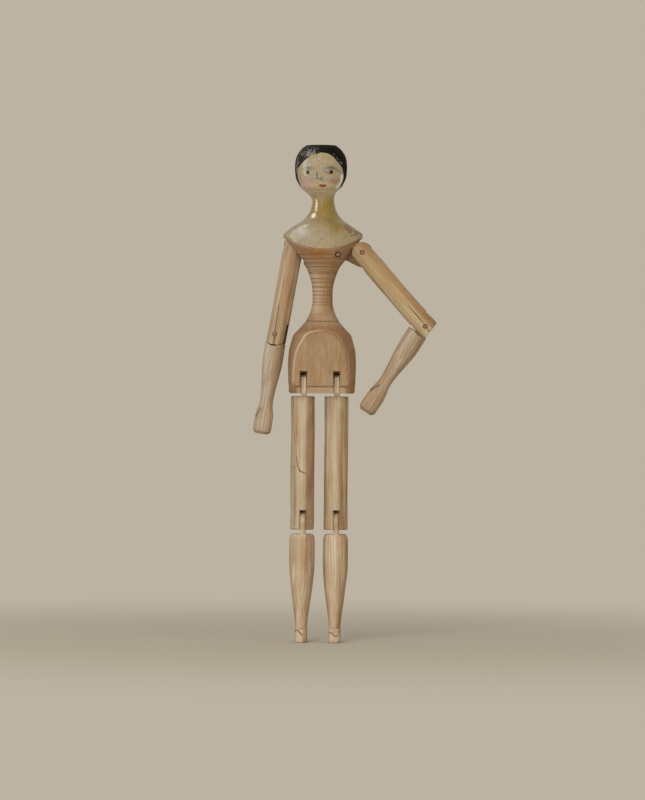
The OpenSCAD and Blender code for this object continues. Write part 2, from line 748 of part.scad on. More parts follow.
hip_peg(false);  // right_hip_peg
knee_peg(true);  // left_knee_peg
knee_peg(false);  // right_knee_peg
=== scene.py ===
import functools
import json
import math
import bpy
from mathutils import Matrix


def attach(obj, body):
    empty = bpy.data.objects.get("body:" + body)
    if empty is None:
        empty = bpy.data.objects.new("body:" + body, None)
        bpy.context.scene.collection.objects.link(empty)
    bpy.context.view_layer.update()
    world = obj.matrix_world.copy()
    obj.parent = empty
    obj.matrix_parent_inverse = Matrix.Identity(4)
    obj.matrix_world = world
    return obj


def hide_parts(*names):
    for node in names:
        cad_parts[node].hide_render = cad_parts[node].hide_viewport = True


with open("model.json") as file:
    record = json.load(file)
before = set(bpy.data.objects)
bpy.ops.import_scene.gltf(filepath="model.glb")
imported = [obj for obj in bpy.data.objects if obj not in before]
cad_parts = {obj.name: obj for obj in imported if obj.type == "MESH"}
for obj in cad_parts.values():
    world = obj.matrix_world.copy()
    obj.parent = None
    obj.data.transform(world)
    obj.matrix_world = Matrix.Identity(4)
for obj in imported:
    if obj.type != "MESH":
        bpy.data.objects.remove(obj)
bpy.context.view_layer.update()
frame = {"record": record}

from types import SimpleNamespace as Sizes

import bpy
import numpy as np
from bpy.props import FloatProperty, FloatVectorProperty, IntProperty, PointerProperty
from bpy.types import Operator, Panel, PropertyGroup
from mathutils import Matrix, Vector

bl_info = {
    "name": "Peg Wooden Doll",
    "version": (1, 0, 0),
    "blender": (4, 5, 0),
    "location": "View3D > Sidebar > Doll",
    "description": "Makes the turned body, the whittled limbs, the links and the pegs of a peg wooden doll",
    "category": "Object",
}

MM = 0.001

# Heights above the waist and radii of the turned body, in millimetres
HIP_DROP, HIP_R, WAIST_R, RIM_RISE, RIM_R = 56.8, 20.45, 6.05, 38.1, 23.9
NECK_RISE, NECK_R, HEAD_H, HEAD_R, CROWN_R, HEAD_ASIDE = 57.8, 6.6, 34.5, 15.65, 9.2, 1.6
PELVIS = [[0, 0.965], [0.06, 0.965], [0.14, 0.986], [0.28, 1], [0.37, 0.993], [0.46, 0.959],
          [0.555, 0.863], [0.618, 0.78], [0.68, 0.553], [0.76, 0.292], [0.838, 0.124], [0.919, 0.024], [1, 0]]
CHEST = [[0, 0], [0.14, 0.005], [0.29, 0.062], [0.478, 0.209], [0.575, 0.36], [0.71, 0.57], [0.84, 0.8],
         [0.95, 0.97], [1, 1]]
YOKE = [[0, 1], [0.07, 0.975], [0.183, 0.8], [0.365, 0.497], [0.513, 0.274], [0.731, 0.092], [1, 0]]
BEND = [[0, 0, 0], [0.04, 0.008, 0.1], [0.085, 0.033, 0.28], [0.122, 0.1, 0.52], [0.157, 0.196, 0.74],
        [0.186, 0.285, 0.9], [0.214, 0.39, 1]]
HEAD = [[0.214, 0.39], [0.262, 0.61], [0.336, 0.77], [0.427, 0.935], [0.556, 1], [0.672, 1], [0.786, 0.935],
        [0.872, 0.77], [0.943, 0.555], [0.985, 0.34]]
CROWN_Z = NECK_RISE + HEAD_H
YOKE_HALF_DEPTH, SCRIBE_Z = 17.6, -13.63
FLAT_Y, FLAT_FOOT_Z, FLAT_SLOPE, BEVEL_SLOPE = 11.4, -52.9, math.tan(math.radians(7.3)), 2.5 / 3.9
TURNING_RINGS = [(26.2, 0.7), (23.8, 0.9), (21.7, 0.6), (20.7, 0.5), (18.9, 0.9), (17.2, 0.7), (15.8, 1.0),
                 (14.8, 0.6), (12.0, 0.8), (9.8, 0.9), (6.9, 1.0), (4.4, 0.7), (2.2, 0.9), (0.0, 0.6),
                 (-2.0, 0.7), (-3.7, 0.5), (-9.5, 0.35), (-19.0, 0.3)]
# The sawn hip slot (back, up) above the underside, and how far in front its walls start and stop closing
HIP_KERF = [[-60, -1], [60, -1], [60, 6.8], [8.3, 6.8], [8.3, 12.5], [0, 11.9], [-6, 11.8], [-10.5, 13.3], [-60, 13.3]]
HIP_WALLS, POCKET_PLAY = (11.6, 7.6), 0.4
# Extra rows of points: about the first rings and the scribed line, and between two heights at the nose
CLOSE_RINGS, RING_ROWS, SCRIBE_ROWS, NOSE_Z = 16, [-0.3, -0.12, 0.05, 0.22, 0.4], [-0.42, -0.2, 0, 0.2, 0.42], (71, 77)
# The hairline's height at angles round the head from the middle of the face
HAIR_ANGLES = [-180, -90, -72, -67, -64, -59.6, -38.6, -20, 2.5, 18, 32, 43, 57, 66, 69, 72, 90, 180]
HAIR_LINE = [65, 66.5, 67.8, 70, 73.8, 77.8, 82.4, 85.6, 87.3, 86.8, 84.7, 81.2, 78.2, 73, 70, 67.6, 66.5, 65]

# Arms: the peg in the chest, then for each side the link, the upper arm, the forearm and their marks
CHEST_PEG = (9.4, 26.4)
# Each arm gives two strengths of the painted shade that darkens the sides of its upper arm and its forearm.
ARMS = {
    "left": Sizes(seed=0, sign=1, reach=14.4, rise=6.4, lift=6, fan=9.3, tilts=(36, 90), arm_d=12.7, arm_len=58.4,
                  cheek_end=4.1, knot=0.8, skew=11, twist=0, tilt=41, bend=73.8, fore_len=62.8, fore_d=13,
                  fore_top=5.4, aside=-1.9, fall=12, thumb=((-2.2, -44.6), (-4.6, -50.0)), tone=(0.88, 0.96, 0.92),
                  browned=(0.95, 0.7), cracks=[[(51.9, -3.9), (60.9, -14.2)], [(62.8, -17.6), (64.9, -20.0)]],
                  chip=[(67.3, -8.9), (69.0, -14.5), (65.8, -19.8)]),
    "right": Sizes(seed=1, sign=-1, reach=10, rise=35.5, lift=10, fan=6.2, tilts=(6, 58), arm_d=11.9, arm_len=54.8,
                   cheek_end=6, knot=0, skew=0, twist=14, tilt=10, bend=1.7, fore_len=60.4, fore_d=12.3,
                   fore_top=4.8, aside=0.3, fall=0, thumb=((2.1, -45.5), (4.6, -50.5)), tone=(0.76, 0.79, 0.79),
                   browned=(0.8, 0.5), cracks=[[(-26.0, -4.1), (-28.4, -20.5)], [(-28.4, -23.2), (-29.0, -27.0)]],
                   chip=[])}
CHEEK_R, TURN_GAP, LINK_T, LINK_SLOT, ELBOW_SLOT, ELBOW_TONGUE = 6.6, 0.35, 3.4, 4.0, 4.6, 4.0
LINK_R, LINK_TRIM, ELBOW_TONGUE_R, WRIST_DROP, WRIST_D, HAND_W, HAND_T = 3.6, 0.6, 4.0, 39.8, 7.8, 11, 6.2
FOREARM = [[0, 0.86], [0.05, 0.97], [0.25, 1], [0.42, 0.88], [0.6, 0.58], [0.79, 0.22], [1, 0]]
HAND = [[0, 0, 0], [0.18, 0.2, 0.15], [0.36, 0.72, 0.6], [0.55, 1, 1], [0.78, 1, 1], [0.92, 0.9, 0.6]]

# Legs: hanging from the hip pegs. A slot's tongue and mouth lie across from the middle of its joint, outwards
# positive. A knife stroke is its facing in degrees, how far from the middle it cuts, the heights where it starts
# and ends, and over how many millimetres it runs in.
HIP_PEG = (10.05, -5.0, -50.1)
THIGH_D, THIGH_LEN, SHIN_LEN, LEG_SLOT, LEG_TONGUE, LEG_ASIDE = 14.6, 83.5, 72.9, 4.7, 2.9, 1.1
THIGH_BACK, KNEE_BACK, SHIN_FORE, THIGH_TOP, CHEEK_DROP, THIGH_RIM = 5.0, 5.7, 0.7, -8.5, 5.2, 0.6
KNEE_KERF = [[-20, -9], [20, -9], [20, 6.06], [-0.6, 6.06], [-1.4, 6.6], [-20, 6.6]]
KNEE_WALLS, KNEE_ROUND, KNEE_HEEL, KNEE_TONGUE_R, KNEE_TONGUE_DIP = (7.9, 5.4), 7.0, 4.69, 6, 23
HIP_TONGUE_ROWS, HIP_TONGUE_TOP = [-10.5, -8.8, -8.4, -7.3, -5.4, 2.4, 3.2, 3.9], 4.4
TONGUE_SHARE, TONGUE_PLAY = 0.92, 0.07
CALF_TOP, CALF_D, ANKLE_D, FOOT_H, FOOT_W, FOOT_LEN, HEEL_BACK = 7.9, 15.2, 7.0, 9.0, 7.5, 17.0, 4.6
CALF = [[0, 0.72], [0.035, 0.94], [0.09, 1], [0.36, 1], [0.547, 0.78], [0.736, 0.45], [0.889, 0.15], [1, 0]]
FOOT = [[0.1, 0.3, 1], [0.3, 0.55, 1], [0.55, 0.82, 1], [0.78, 1, 1], [1, 0.98, 0.97]]
# Each leg gives the middle and width of a painted highlight down the front of its thigh, the middles of one down its
# calf at two heights, and how strongly painted shade darkens its sides.
LEGS = {
    "left": Sizes(seed=1, sign=1, hip=Sizes(tongue=-0.9, mouth=(-3.0, 1.45)),
                  knee=Sizes(tongue=-0.7, mouth=(-2.6, 1.95)),
                  strokes=[(262, 6.75, -12, -86, 6)], strip=(8.3, 2.0), calf_strip=(7.3, 8.8), browned=1.0, carved=[],
                  instep=[(4.8, -201.8), (5.6, -200.6), (6.8, -200.1), (7.8, -200.6), (9.1, -202.2), (11.3, -202.0)]),
    "right": Sizes(seed=0, sign=-1, hip=Sizes(tongue=0.72, mouth=(-1.75, 2.95)),
                   knee=Sizes(tongue=0.7, mouth=(-1.95, 2.6)),
                   strokes=[(268, 6.8, -12, -86, 6), (215, 6.55, -50, -88, 2.0)],
                   strip=(-12.1, 2.3), calf_strip=(-12.3, -12.3), browned=0.65,
                   carved=[(-15.1, -66.0), (-14.8, -80.0), (-14.5, -96.0), (-13.8, -101.0), (-12.3, -103.7),
                           (-9.6, -104.8)],
                   instep=[(-15.2, -200.8), (-13.8, -199.0), (-12.8, -199.3), (-11.4, -200.8), (-10.3, -201.8),
                           (-8.7, -201.5)])}
ARM_PEG_R, CHEST_PEG_R, LEG_PEG_R, PEG_PLAY, CHEST_PEG_IN, HIP_PEG_ENDS = 1.2, 1.3, 1.4, 0.08, 6.0, (3.7, 19.6)
# A distance from the nearest crack that leaves none
NO_CRACK = 9.0
# What the camera looks at and from how far, in metres, how many millimetres it sees there, and the floor's height
VIEW_MIDDLE, VIEW_AWAY, VIEW_H, SOLE_Z = (0.0005, 0, -0.0608), 2.5, 481.6, -0.2065


def colour(hexes):
    """The linear colour of a hex triplet: each share below 0.04045 over 12.92, or else its 2.4th power."""
    shares = [int(hexes[i:i + 2], 16) / 255 for i in (1, 3, 5)]
    return tuple(s / 12.92 if s <= 0.04045 else ((s + 0.055) / 1.055) ** 2.4 for s in shares)


def tint(name, description, hexes):
    return FloatVectorProperty(name=name, description=description, subtype="COLOR", size=3, min=0, max=1,
                               default=colour(hexes))


class DollShape(PropertyGroup):
    ring_depth: FloatProperty(name="Ring depth", description="Depth of the rings that the lathe tool left",
                              default=0.16 * MM, min=0, unit="LENGTH")
    facet_depth: FloatProperty(name="Facet depth", default=0.045, min=0, max=0.1,
                               description="How far a knife facet cuts in, as a share of the radius")
    arm_facets: IntProperty(name="Arm facets", description="Knife facets round an arm", default=11, min=5, max=24)
    leg_facets: IntProperty(name="Leg facets", description="Knife facets round a leg", default=12, min=5, max=24)
    nose_out: FloatProperty(name="Nose", description="How far the nose stands out of the face",
                            default=1.1 * MM, min=0, unit="LENGTH")
    grain_spacing: FloatProperty(name="Grain spacing", description="Distance between two growth rings of the wood",
                                 default=1.5 * MM, min=0.2 * MM, unit="LENGTH")


class DollColours(PropertyGroup):
    pale_wood: tint("Pale wood", "Bare wood between the grain lines", "#cfba99")
    deep_wood: tint("Deep wood", "Bare wood along the grain lines", "#b4956f")
    warm_wood: tint("Warm wood", "Broad warmer bands in the bare wood", "#b08558")
    red_grain: tint("Red grain", "The reddish lines of late wood", "#9c6d49")
    # Painted shade: this colour darkens the sides of the limbs and of the body, where they turn from the light.
    side_shade: tint("Handled wood", "What darkens a piece's sides, where hands and varnish have browned it", "#e0c8b0")
    # This dark colour is dirt, and also painted shade in slots, pockets and creases.
    grime_and_shade: tint("Grime", "Old dirt in slots, cracks and grooves", "#3f2d1f")
    dark_wood: tint("Dark wood", "The links and the pegs", "#7a5a3c")
    gesso: tint("Ground", "The pale ground under the varnish", "#a2977f")
    varnish: tint("Varnish", "The yellowed varnish", "#8c7230")
    stain: tint("Stain", "Varnish that has soaked into the bare wood", "#8a5a22")
    hair: tint("Hair", "The black of the painted hair", "#120e0a")
    lips: tint("Lips", "The painted mouth", "#8c3a30")
    paper: tint("Background", "The plain floor and backdrop", "#bcb3a2")


def smooth(points, steps=6):
    """A line through the points of an outline: between b and c, with neighbours a and d, the cubic
    (2b + (c-a)t + (2a-5b+4c-d)t^2 + (3b-a-3c+d)t^3) / 2 for t from 0 to 1."""
    p = np.asarray(points, float)
    n = np.arange(len(p) - 1)
    a, b, c, d = (p[np.clip(n + k, 0, len(p) - 1)][:, None] for k in (-1, 0, 1, 2))
    t = (np.arange(steps) / steps)[None, :, None]
    s = (2 * b + (c - a) * t + (2 * a - 5 * b + 4 * c - d) * t ** 2 + (3 * b - a - 3 * c + d) * t ** 3) / 2
    return np.vstack([s.reshape(-1, p.shape[1]), p[-1:]])


def soft_min(a, b, k):
    """The lesser of two distances, with the corner between them rounded over a width k."""
    h = np.clip(0.5 + 0.5 * (b - a) / k, 0, 1)
    return b + (a - b) * h - k * h * (1 - h)


def bump_at(v, centre, width):
    """A bell of height 1: exp(-((v - centre) / width)^2)."""
    return np.exp(-((v - centre) / width) ** 2)


def bell(x, z, across, wide, up, high):
    """A bell across times a bell upwards."""
    return bump_at(x, across, wide) * bump_at(z, up, high)


def step(v, low, high):
    """0 below low, 1 above high, and 3t^2 - 2t^3 between."""
    t = np.clip((v - low) / (high - low), 0, 1)
    return t * t * (3 - 2 * t)


def waves(seed, count, *values):
    """A smooth seeded unevenness between about -1 and 1: a sum of sines of the values, each with its own wavelength,
    over the root of their count."""
    rng = np.random.default_rng(seed)
    total = 0
    for _ in range(count):
        phase = rng.uniform(0, 2 * math.pi)
        for v, (short, long) in values:
            phase = phase + v * 2 * math.pi / rng.uniform(short, long)
        total = total + np.sin(phase)
    return total / math.sqrt(count)


def turned_outline():
    """Heights and radii of the body from the underside of the pelvis to the crown, and the heights and the amounts of
    the shift of its middle aside. Each part of the outline runs between two heights and two radii by its shares."""
    parts = [(PELVIS, -HIP_DROP, HIP_DROP, WAIST_R, HIP_R), (CHEST, 0, RIM_RISE, WAIST_R, RIM_R),
             (YOKE, RIM_RISE, NECK_RISE - RIM_RISE, NECK_R, RIM_R), (BEND, NECK_RISE, HEAD_H, NECK_R, HEAD_R),
             (HEAD, NECK_RISE, HEAD_H, NECK_R, HEAD_R)]
    lines = [np.column_stack([foot + rise * line[:, 0], thin + (thick - thin) * line[:, 1]])[part is not PELVIS:]
             for part, foot, rise, thin, thick in parts for line in [smooth(part)]]
    z, r = np.vstack(lines + [[CROWN_Z, CROWN_R]]).T
    bend = smooth(BEND)
    aside_z = np.concatenate([[-HIP_DROP, NECK_RISE], NECK_RISE + HEAD_H * bend[:, 0], [CROWN_Z]])
    return z, r, aside_z, -HEAD_ASIDE * np.concatenate([[0, 0], bend[:, 2], [1]])


OUTLINE_Z, OUTLINE_R, ASIDE_Z, ASIDE = turned_outline()


def body_points(z, t, ring_depth, nose_out):
    """The turned body at height z and angle t. Its radius is the outline's, less the tool rings and the scribed line,
    held inside the oval of the shoulders and inside the leaning flats of the pelvis, plus the nose."""
    r = np.interp(z, OUTLINE_Z, OUTLINE_R)
    r = r - 1.0 * step(-z, HIP_DROP - 1.0, HIP_DROP)
    front_left = 0.65 + 0.35 * np.cos(t - math.radians(235))
    for at, depth in TURNING_RINGS:
        r = r - ring_depth * depth * front_left * bump_at(z, at + 0.05 * np.sin(t + at), 0.28)
    r = r - ring_depth * 0.35 * waves(3, 5, (z, (1.1, 2.6))) * step(z, -26, -18) * step(-z, -30, -24)
    r = r - 0.38 * np.clip(1 - np.abs(z - SCRIBE_Z) / 0.42, 0, 1)
    r = r + 0.05 * waves(11, 4, (z, (9, 21)), (t, (2.1, 4.2)))
    oval = 1 / np.sqrt((np.cos(t) / (RIM_R + 1)) ** 2 + (np.sin(t) / (YOKE_HALF_DEPTH - 0.15)) ** 2)
    shaved = oval + 0.10 * waves(5, 5, (z, (3, 9)), (t, (0.5, 1.6)))
    r = np.where((z > 15) & (z < 56), soft_min(r, shaved, 0.35 + 4 * step(z, RIM_RISE, RIM_RISE + 2.5)), r)
    half = FLAT_Y + (z - FLAT_FOOT_Z) * np.where(z > FLAT_FOOT_Z, FLAT_SLOPE, BEVEL_SLOPE)
    half = half + 0.07 * waves(7, 5, (z, (5, 14)), (t, (0.3, 0.9)))
    flat = half / np.maximum(np.abs(np.sin(t)), 0.05)
    r = np.where(z < -8, soft_min(r, flat, 0.3), r)
    r = np.minimum(r, np.interp(z, OUTLINE_Z, OUTLINE_R))
    across = r * np.cos(t)
    nose = np.where(np.sin(t) < 0, bump_at(across, 0, 0.95), 0) * step(-z, -76.8, -73.0) * step(z, 71.2, 72.0)
    r = r + nose_out * nose
    x = np.interp(z, ASIDE_Z, ASIDE) + r * np.cos(t)
    return np.stack([x, r * np.sin(t), z + 0 * t], axis=-1)


def put_mesh(name, points, faces):
    """A mesh object from points in millimetres and lists of faces."""
    mesh = bpy.data.meshes.new(name)
    mesh.from_pydata((np.asarray(points) * MM).tolist(), [], faces)
    mesh.validate()
    mesh.update()
    piece = bpy.data.objects.new(name, mesh)
    bpy.context.scene.collection.objects.link(piece)
    return piece


def ring_quads(n, m):
    """The quads between n closed rows of m points: row i, column j joins its neighbours below and beside it."""
    i, j = np.meshgrid(np.arange(n - 1), np.arange(m), indexing="ij")
    k = (j + 1) % m
    return np.stack([i * m + j, (i + 1) * m + j, (i + 1) * m + k, i * m + k], -1).reshape(-1, 4)


def skin(name, rows, place=np.eye(4)):
    """A closed skin over rows of points, listed from the top down and anticlockwise seen from above. Each end row is
    closed by a fan to its middle."""
    n, m = rows.shape[:2]
    points = np.vstack([rows.reshape(-1, 3), rows[0].mean(0), rows[-1].mean(0)])
    j = np.arange(m)
    k = (j + 1) % m
    top = np.stack([j, k, 0 * j + n * m], -1)
    low = np.stack([(n - 1) * m + k, (n - 1) * m + j, 0 * j + n * m + 1], -1)
    return put_placed(name, points, [ring_quads(n, m), top, low], place)


def put_placed(name, points, face_sets, place):
    """Places points by a 4x4 matrix, and turns the faces round when the matrix mirrors them."""
    points = points @ place[:3, :3].T + place[:3, 3]
    if np.linalg.det(place[:3, :3]) < 0:
        face_sets = [f[:, ::-1] for f in face_sets]
    return put_mesh(name, points, [face for f in face_sets for face in f.tolist()])


def prism(name, outline, low, high, place, axis="Y"):
    """An outline (across, up), anticlockwise seen from the front, carried along Y (or X) from low to high."""
    n = len(outline)
    near = np.column_stack([outline[:, 0], np.full(n, low), outline[:, 1]])
    far = np.column_stack([outline[:, 0], np.full(n, high), outline[:, 1]])
    points = np.vstack([near, far])
    if axis == "X":
        points = points[:, [1, 0, 2]]
    j = np.arange(n)
    k = (j + 1) % n
    sets = [np.stack([j, j + n, k + n, k], -1), np.vstack([j, (j + n)[::-1]])]
    if axis == "X":
        sets = [f[:, ::-1] for f in sets]
    return put_placed(name, points, sets, place)


def rod(name, radius, low, high, place, axis="Y", sides=40):
    """A round rod along Y or X."""
    t = np.arange(sides) * 2 * math.pi / sides
    return prism(name, radius * np.column_stack([np.cos(t), np.sin(t)]), low, high, place, axis)


def block(name, x, y, z, place):
    """A box between two numbers on each axis."""
    outline = np.array([[x[0], z[0]], [x[1], z[0]], [x[1], z[1]], [x[0], z[1]]], float)
    return prism(name, outline, y[0], y[1], place)


def slot_cutter(name, profile, slot, front, deep, place):
    """A slot of one outline (back, up), whose two walls close from its mouth to just beside the tongue: what is common
    to a prism along X and an upright one whose outline narrows between two distances in front of the origin."""
    low, high = slot.mouth
    tight = LEG_TONGUE / 2 + TONGUE_PLAY
    near, far = slot.tongue - tight, slot.tongue + tight
    cutter = prism(name, profile, min(low, near), max(high, far), place, "X")
    wedge = np.array([[near, -60], [far, -60], [far, deep], [high, front], [high, 60], [low, 60], [low, front],
                      [near, deep]])
    carve(cutter, [prism("wedge", wedge, -90, 90, place @ turned("X", 90))], "INTERSECT")
    return cutter


def carve(piece, others, operation="DIFFERENCE"):
    """Cuts, joins or keeps what is common, with exact solids, and puts the result in the piece's mesh."""
    for other in others:
        cut = piece.modifiers.new("carve", "BOOLEAN")
        cut.operation = operation
        cut.solver = "MANIFOLD"
        cut.object = other
    graph = bpy.context.evaluated_depsgraph_get()
    mesh = bpy.data.meshes.new_from_object(piece.evaluated_get(graph))
    if not len(mesh.polygons):
        raise RuntimeError(f"nothing is left of {piece.name}")
    piece.modifiers.clear()
    old, piece.data = piece.data, mesh
    mesh.name = piece.name
    bpy.data.meshes.remove(old)
    for other in others:
        gone = other.data
        bpy.data.objects.remove(other)
        bpy.data.meshes.remove(gone)


def coordinates(piece):
    """The piece's points in millimetres."""
    co = np.empty(len(piece.data.vertices) * 3)
    piece.data.vertices.foreach_get("co", co)
    return co.reshape(-1, 3) / MM


def shade(piece, degrees):
    """Smooth shading, with every edge kept hard where the normals of its two faces differ by more than the angle."""
    mesh = piece.data
    mesh.shade_smooth()
    edge_of = np.empty(len(mesh.loops), np.int32)
    mesh.loops.foreach_get("edge_index", edge_of)
    totals = np.empty(len(mesh.polygons), np.int32)
    mesh.polygons.foreach_get("loop_total", totals)
    normals = np.empty(len(mesh.polygons) * 3)
    mesh.polygons.foreach_get("normal", normals)
    face_of = np.repeat(np.arange(len(totals)), totals)
    order = np.argsort(edge_of, kind="stable")
    edges, first = np.unique(edge_of[order], return_index=True)
    last = np.append(first[1:], len(order)) - 1
    normals = normals.reshape(-1, 3)
    a, b = normals[face_of[order[first]]], normals[face_of[order[last]]]
    sharp = np.zeros(len(mesh.edges), bool)
    sharp[edges] = (a * b).sum(1) < math.cos(math.radians(degrees))
    layer = mesh.attributes.get("sharp_edge") or mesh.attributes.new("sharp_edge", "BOOLEAN", "EDGE")
    layer.data.foreach_set("value", sharp)


def moved(x=0.0, y=0.0, z=0.0):
    """A shift, as a 4x4 matrix."""
    m = np.eye(4)
    m[:3, 3] = (x, y, z)
    return m


def turned(axis, degrees):
    """A turn about an axis, as a 4x4 matrix."""
    return np.array(Matrix.Rotation(math.radians(degrees), 4, axis))


def to_side(place, sign):
    """A place on the left as it is, or mirrored to the right when the sign is -1."""
    return np.diag([sign, 1.0, 1.0, 1.0]) @ place


def at_shoulder(arm):
    """Where a hanging arm stands: tilted outward about its shoulder peg, which the link carries."""
    rise = math.radians(arm.rise)
    place = moved(CHEST_PEG[0] + arm.reach * math.cos(rise), 0, CHEST_PEG[1] + arm.reach * math.sin(rise))
    place = place @ turned("Y", -arm.tilt)
    return to_side(place, arm.sign)


def at_elbow(arm):
    return at_shoulder(arm) @ moved(z=-arm.arm_len) @ turned("Z", arm.twist)


def at_forearm(arm):
    return at_elbow(arm) @ turned("Y", arm.bend)


def at_chest(arm):
    place = moved(CHEST_PEG[0], 0, CHEST_PEG[1]) @ turned("Y", -arm.rise)
    return to_side(place, arm.sign)


def at_hip(leg):
    return to_side(moved(*HIP_PEG), leg.sign)


def at_knee(leg):
    return at_hip(leg) @ moved(0, KNEE_BACK, -THIGH_LEN)


def whittled(t, s, count, seed, depth):
    """The share of a round section's radius that a knife leaves: the soft least, over the facets, of d / cos(t - a),
    where each facet's angle a and distance d drift along the limb."""
    rng = np.random.default_rng(seed)
    a0 = (np.arange(count) + rng.uniform(-0.2, 0.2, count)) * 2 * math.pi / count
    d0 = 1 - depth * rng.uniform(0.25, 1.0, count)
    length, phase = rng.uniform(38, 90, count), rng.uniform(0, 2 * math.pi, (2, count))
    s = s[..., None]
    a = a0 + 0.09 * np.sin(2 * math.pi * s / length + phase[0])
    d = d0 + 0.25 * depth * np.sin(2 * math.pi * s / (0.7 * length) + phase[1])
    near = np.cos(t[..., None] - a)
    r = d / np.maximum(near, 0.3)
    k = 170
    least = r.min(-1, keepdims=True)
    r = least[..., 0] - np.log(np.exp(-(r - least) * k).sum(-1)) / k
    return np.minimum(r, 1.0)


def limb_rows(z, width, depth, x=0.0, y=0.0, power=2.0, facets=11, seed=0, cut=0.045, columns=96, turn=0.5):
    """Rows of points round a limb. At height z and angle t the point is the middle plus half the width times
    sign(cos t) |cos t|^(2/power) and half the depth times sign(sin t) |sin t|^(2/power), times the whittled share."""
    z, width, depth, x, y, power = (np.broadcast_to(np.asarray(v, float), np.shape(z))[:, None]
                                    for v in (z, width, depth, x, y, power))
    t = ((np.arange(columns) + turn) * 2 * math.pi / columns)[None, :] + 0 * z
    share = whittled(t, z + 0 * t, facets, seed, cut)
    c, s = np.cos(t), np.sin(t)
    px = x + width / 2 * np.sign(c) * np.abs(c) ** (2 / power) * share
    py = y + depth / 2 * np.sign(s) * np.abs(s) ** (2 / power) * share
    return np.stack([px, py, z + 0 * t], -1)


def support_outline(points, radius, count=160):
    """The outline of the hull of equal circles about some points: in each direction, the furthest point plus the
    radius in that direction."""
    t = np.arange(count) * 2 * math.pi / count
    ways = np.column_stack([np.cos(t), np.sin(t)])
    return points[np.argmax(ways @ points.T, axis=1)] + radius * ways


def arc(x, z, radius, start, end, count):
    """Points on a round arc between two angles in degrees."""
    t = np.radians(np.linspace(start, end, count))
    return np.column_stack([x + radius * np.cos(t), z + radius * np.sin(t)])


def link_outline(arm):
    """The flat outline of a link: round about the chest peg, fanned out under the arm peg, and round at its tip."""
    reach = arm.reach
    return np.vstack([arc(0, 0, LINK_R, 90, 315, 22), arc(reach, 0, arm.fan - LINK_TRIM, 250, 270, 6),
                      arc(reach, 0, arm.arm_d / 2, 320, 450, 18)])


def browned(q, x=0.0, y=0.0, sign=1):
    """How much painted shade darkens a limb, by the angle of a point from the front: with a on the right and b on the
    left,
    0.75 step(a, 13, 30) - 0.2 step(a, 55, 80) + 0.45 step(b, 40, 70), less half of it towards the back."""
    angle = np.degrees(np.arctan2(sign * (q[:, 0] - x), y - q[:, 1]))
    share = 0.75 * step(angle, 13, 30) - 0.2 * step(angle, 55, 80) + 0.45 * step(-angle, 40, 70)
    return share * (1 - 0.5 * step(np.abs(angle), 105, 150))


def turn_points(points, degrees):
    """Points (x, z) turned anticlockwise, seen from the front."""
    a = math.radians(degrees)
    return points @ np.array([[math.cos(a), math.sin(a)], [-math.sin(a), math.cos(a)]])


def near_line(p, *ends):
    """Distance, seen from the front, of points (x, z) from the nearest part of a line through some ends."""
    ends = np.asarray(ends, float)
    apart = []
    for a, b in zip(ends, ends[1:]):
        along = np.clip(((p - a) @ (b - a)) / ((b - a) @ (b - a)), 0, 1)
        apart.append(np.linalg.norm(p - a - along[:, None] * (b - a), axis=1))
    return np.min(apart, axis=0)


def most(*values):
    """The greatest of some values at each point."""
    return functools.reduce(np.maximum, values)


def into(points, place):
    """Points in the frame that a matrix places."""
    back = np.linalg.inv(place)
    return points @ back[:3, :3].T + back[:3, 3]


def frame_body(node):
    """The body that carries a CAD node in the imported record."""
    return next(body for body, nodes in frame["record"]["behaviour"]["bodies"].items() if node in nodes)


class Wire:
    """A value in a node tree. Sums, differences, products and quotients with wires and numbers put maths nodes."""

    def __init__(self, tree, socket):
        self.tree, self.socket = tree, socket

    def maths(self, operation, *others):
        return self.tree.maths(operation, self, *others)

    def __add__(self, other):
        return self.maths("ADD", other)

    def __sub__(self, other):
        return self.maths("SUBTRACT", other)

    def __rsub__(self, other):
        return self.tree.maths("SUBTRACT", other, self)

    def __mul__(self, other):
        return self.maths("MULTIPLY", other)

    def __truediv__(self, other):
        return self.maths("DIVIDE", other)

    def held(self):
        """The same maths node, held between 0 and 1."""
        self.socket.node.use_clamp = True
        return self

    def ease(self, low, high, to_low=0.0, to_high=1.0):
        """Eased from one number to another as the wire goes from low to high."""
        return self.tree.put("MapRange", {"Value": self, "From Min": low, "From Max": high, "To Min": to_low,
                                          "To Max": to_high}, interpolation_type="SMOOTHSTEP")


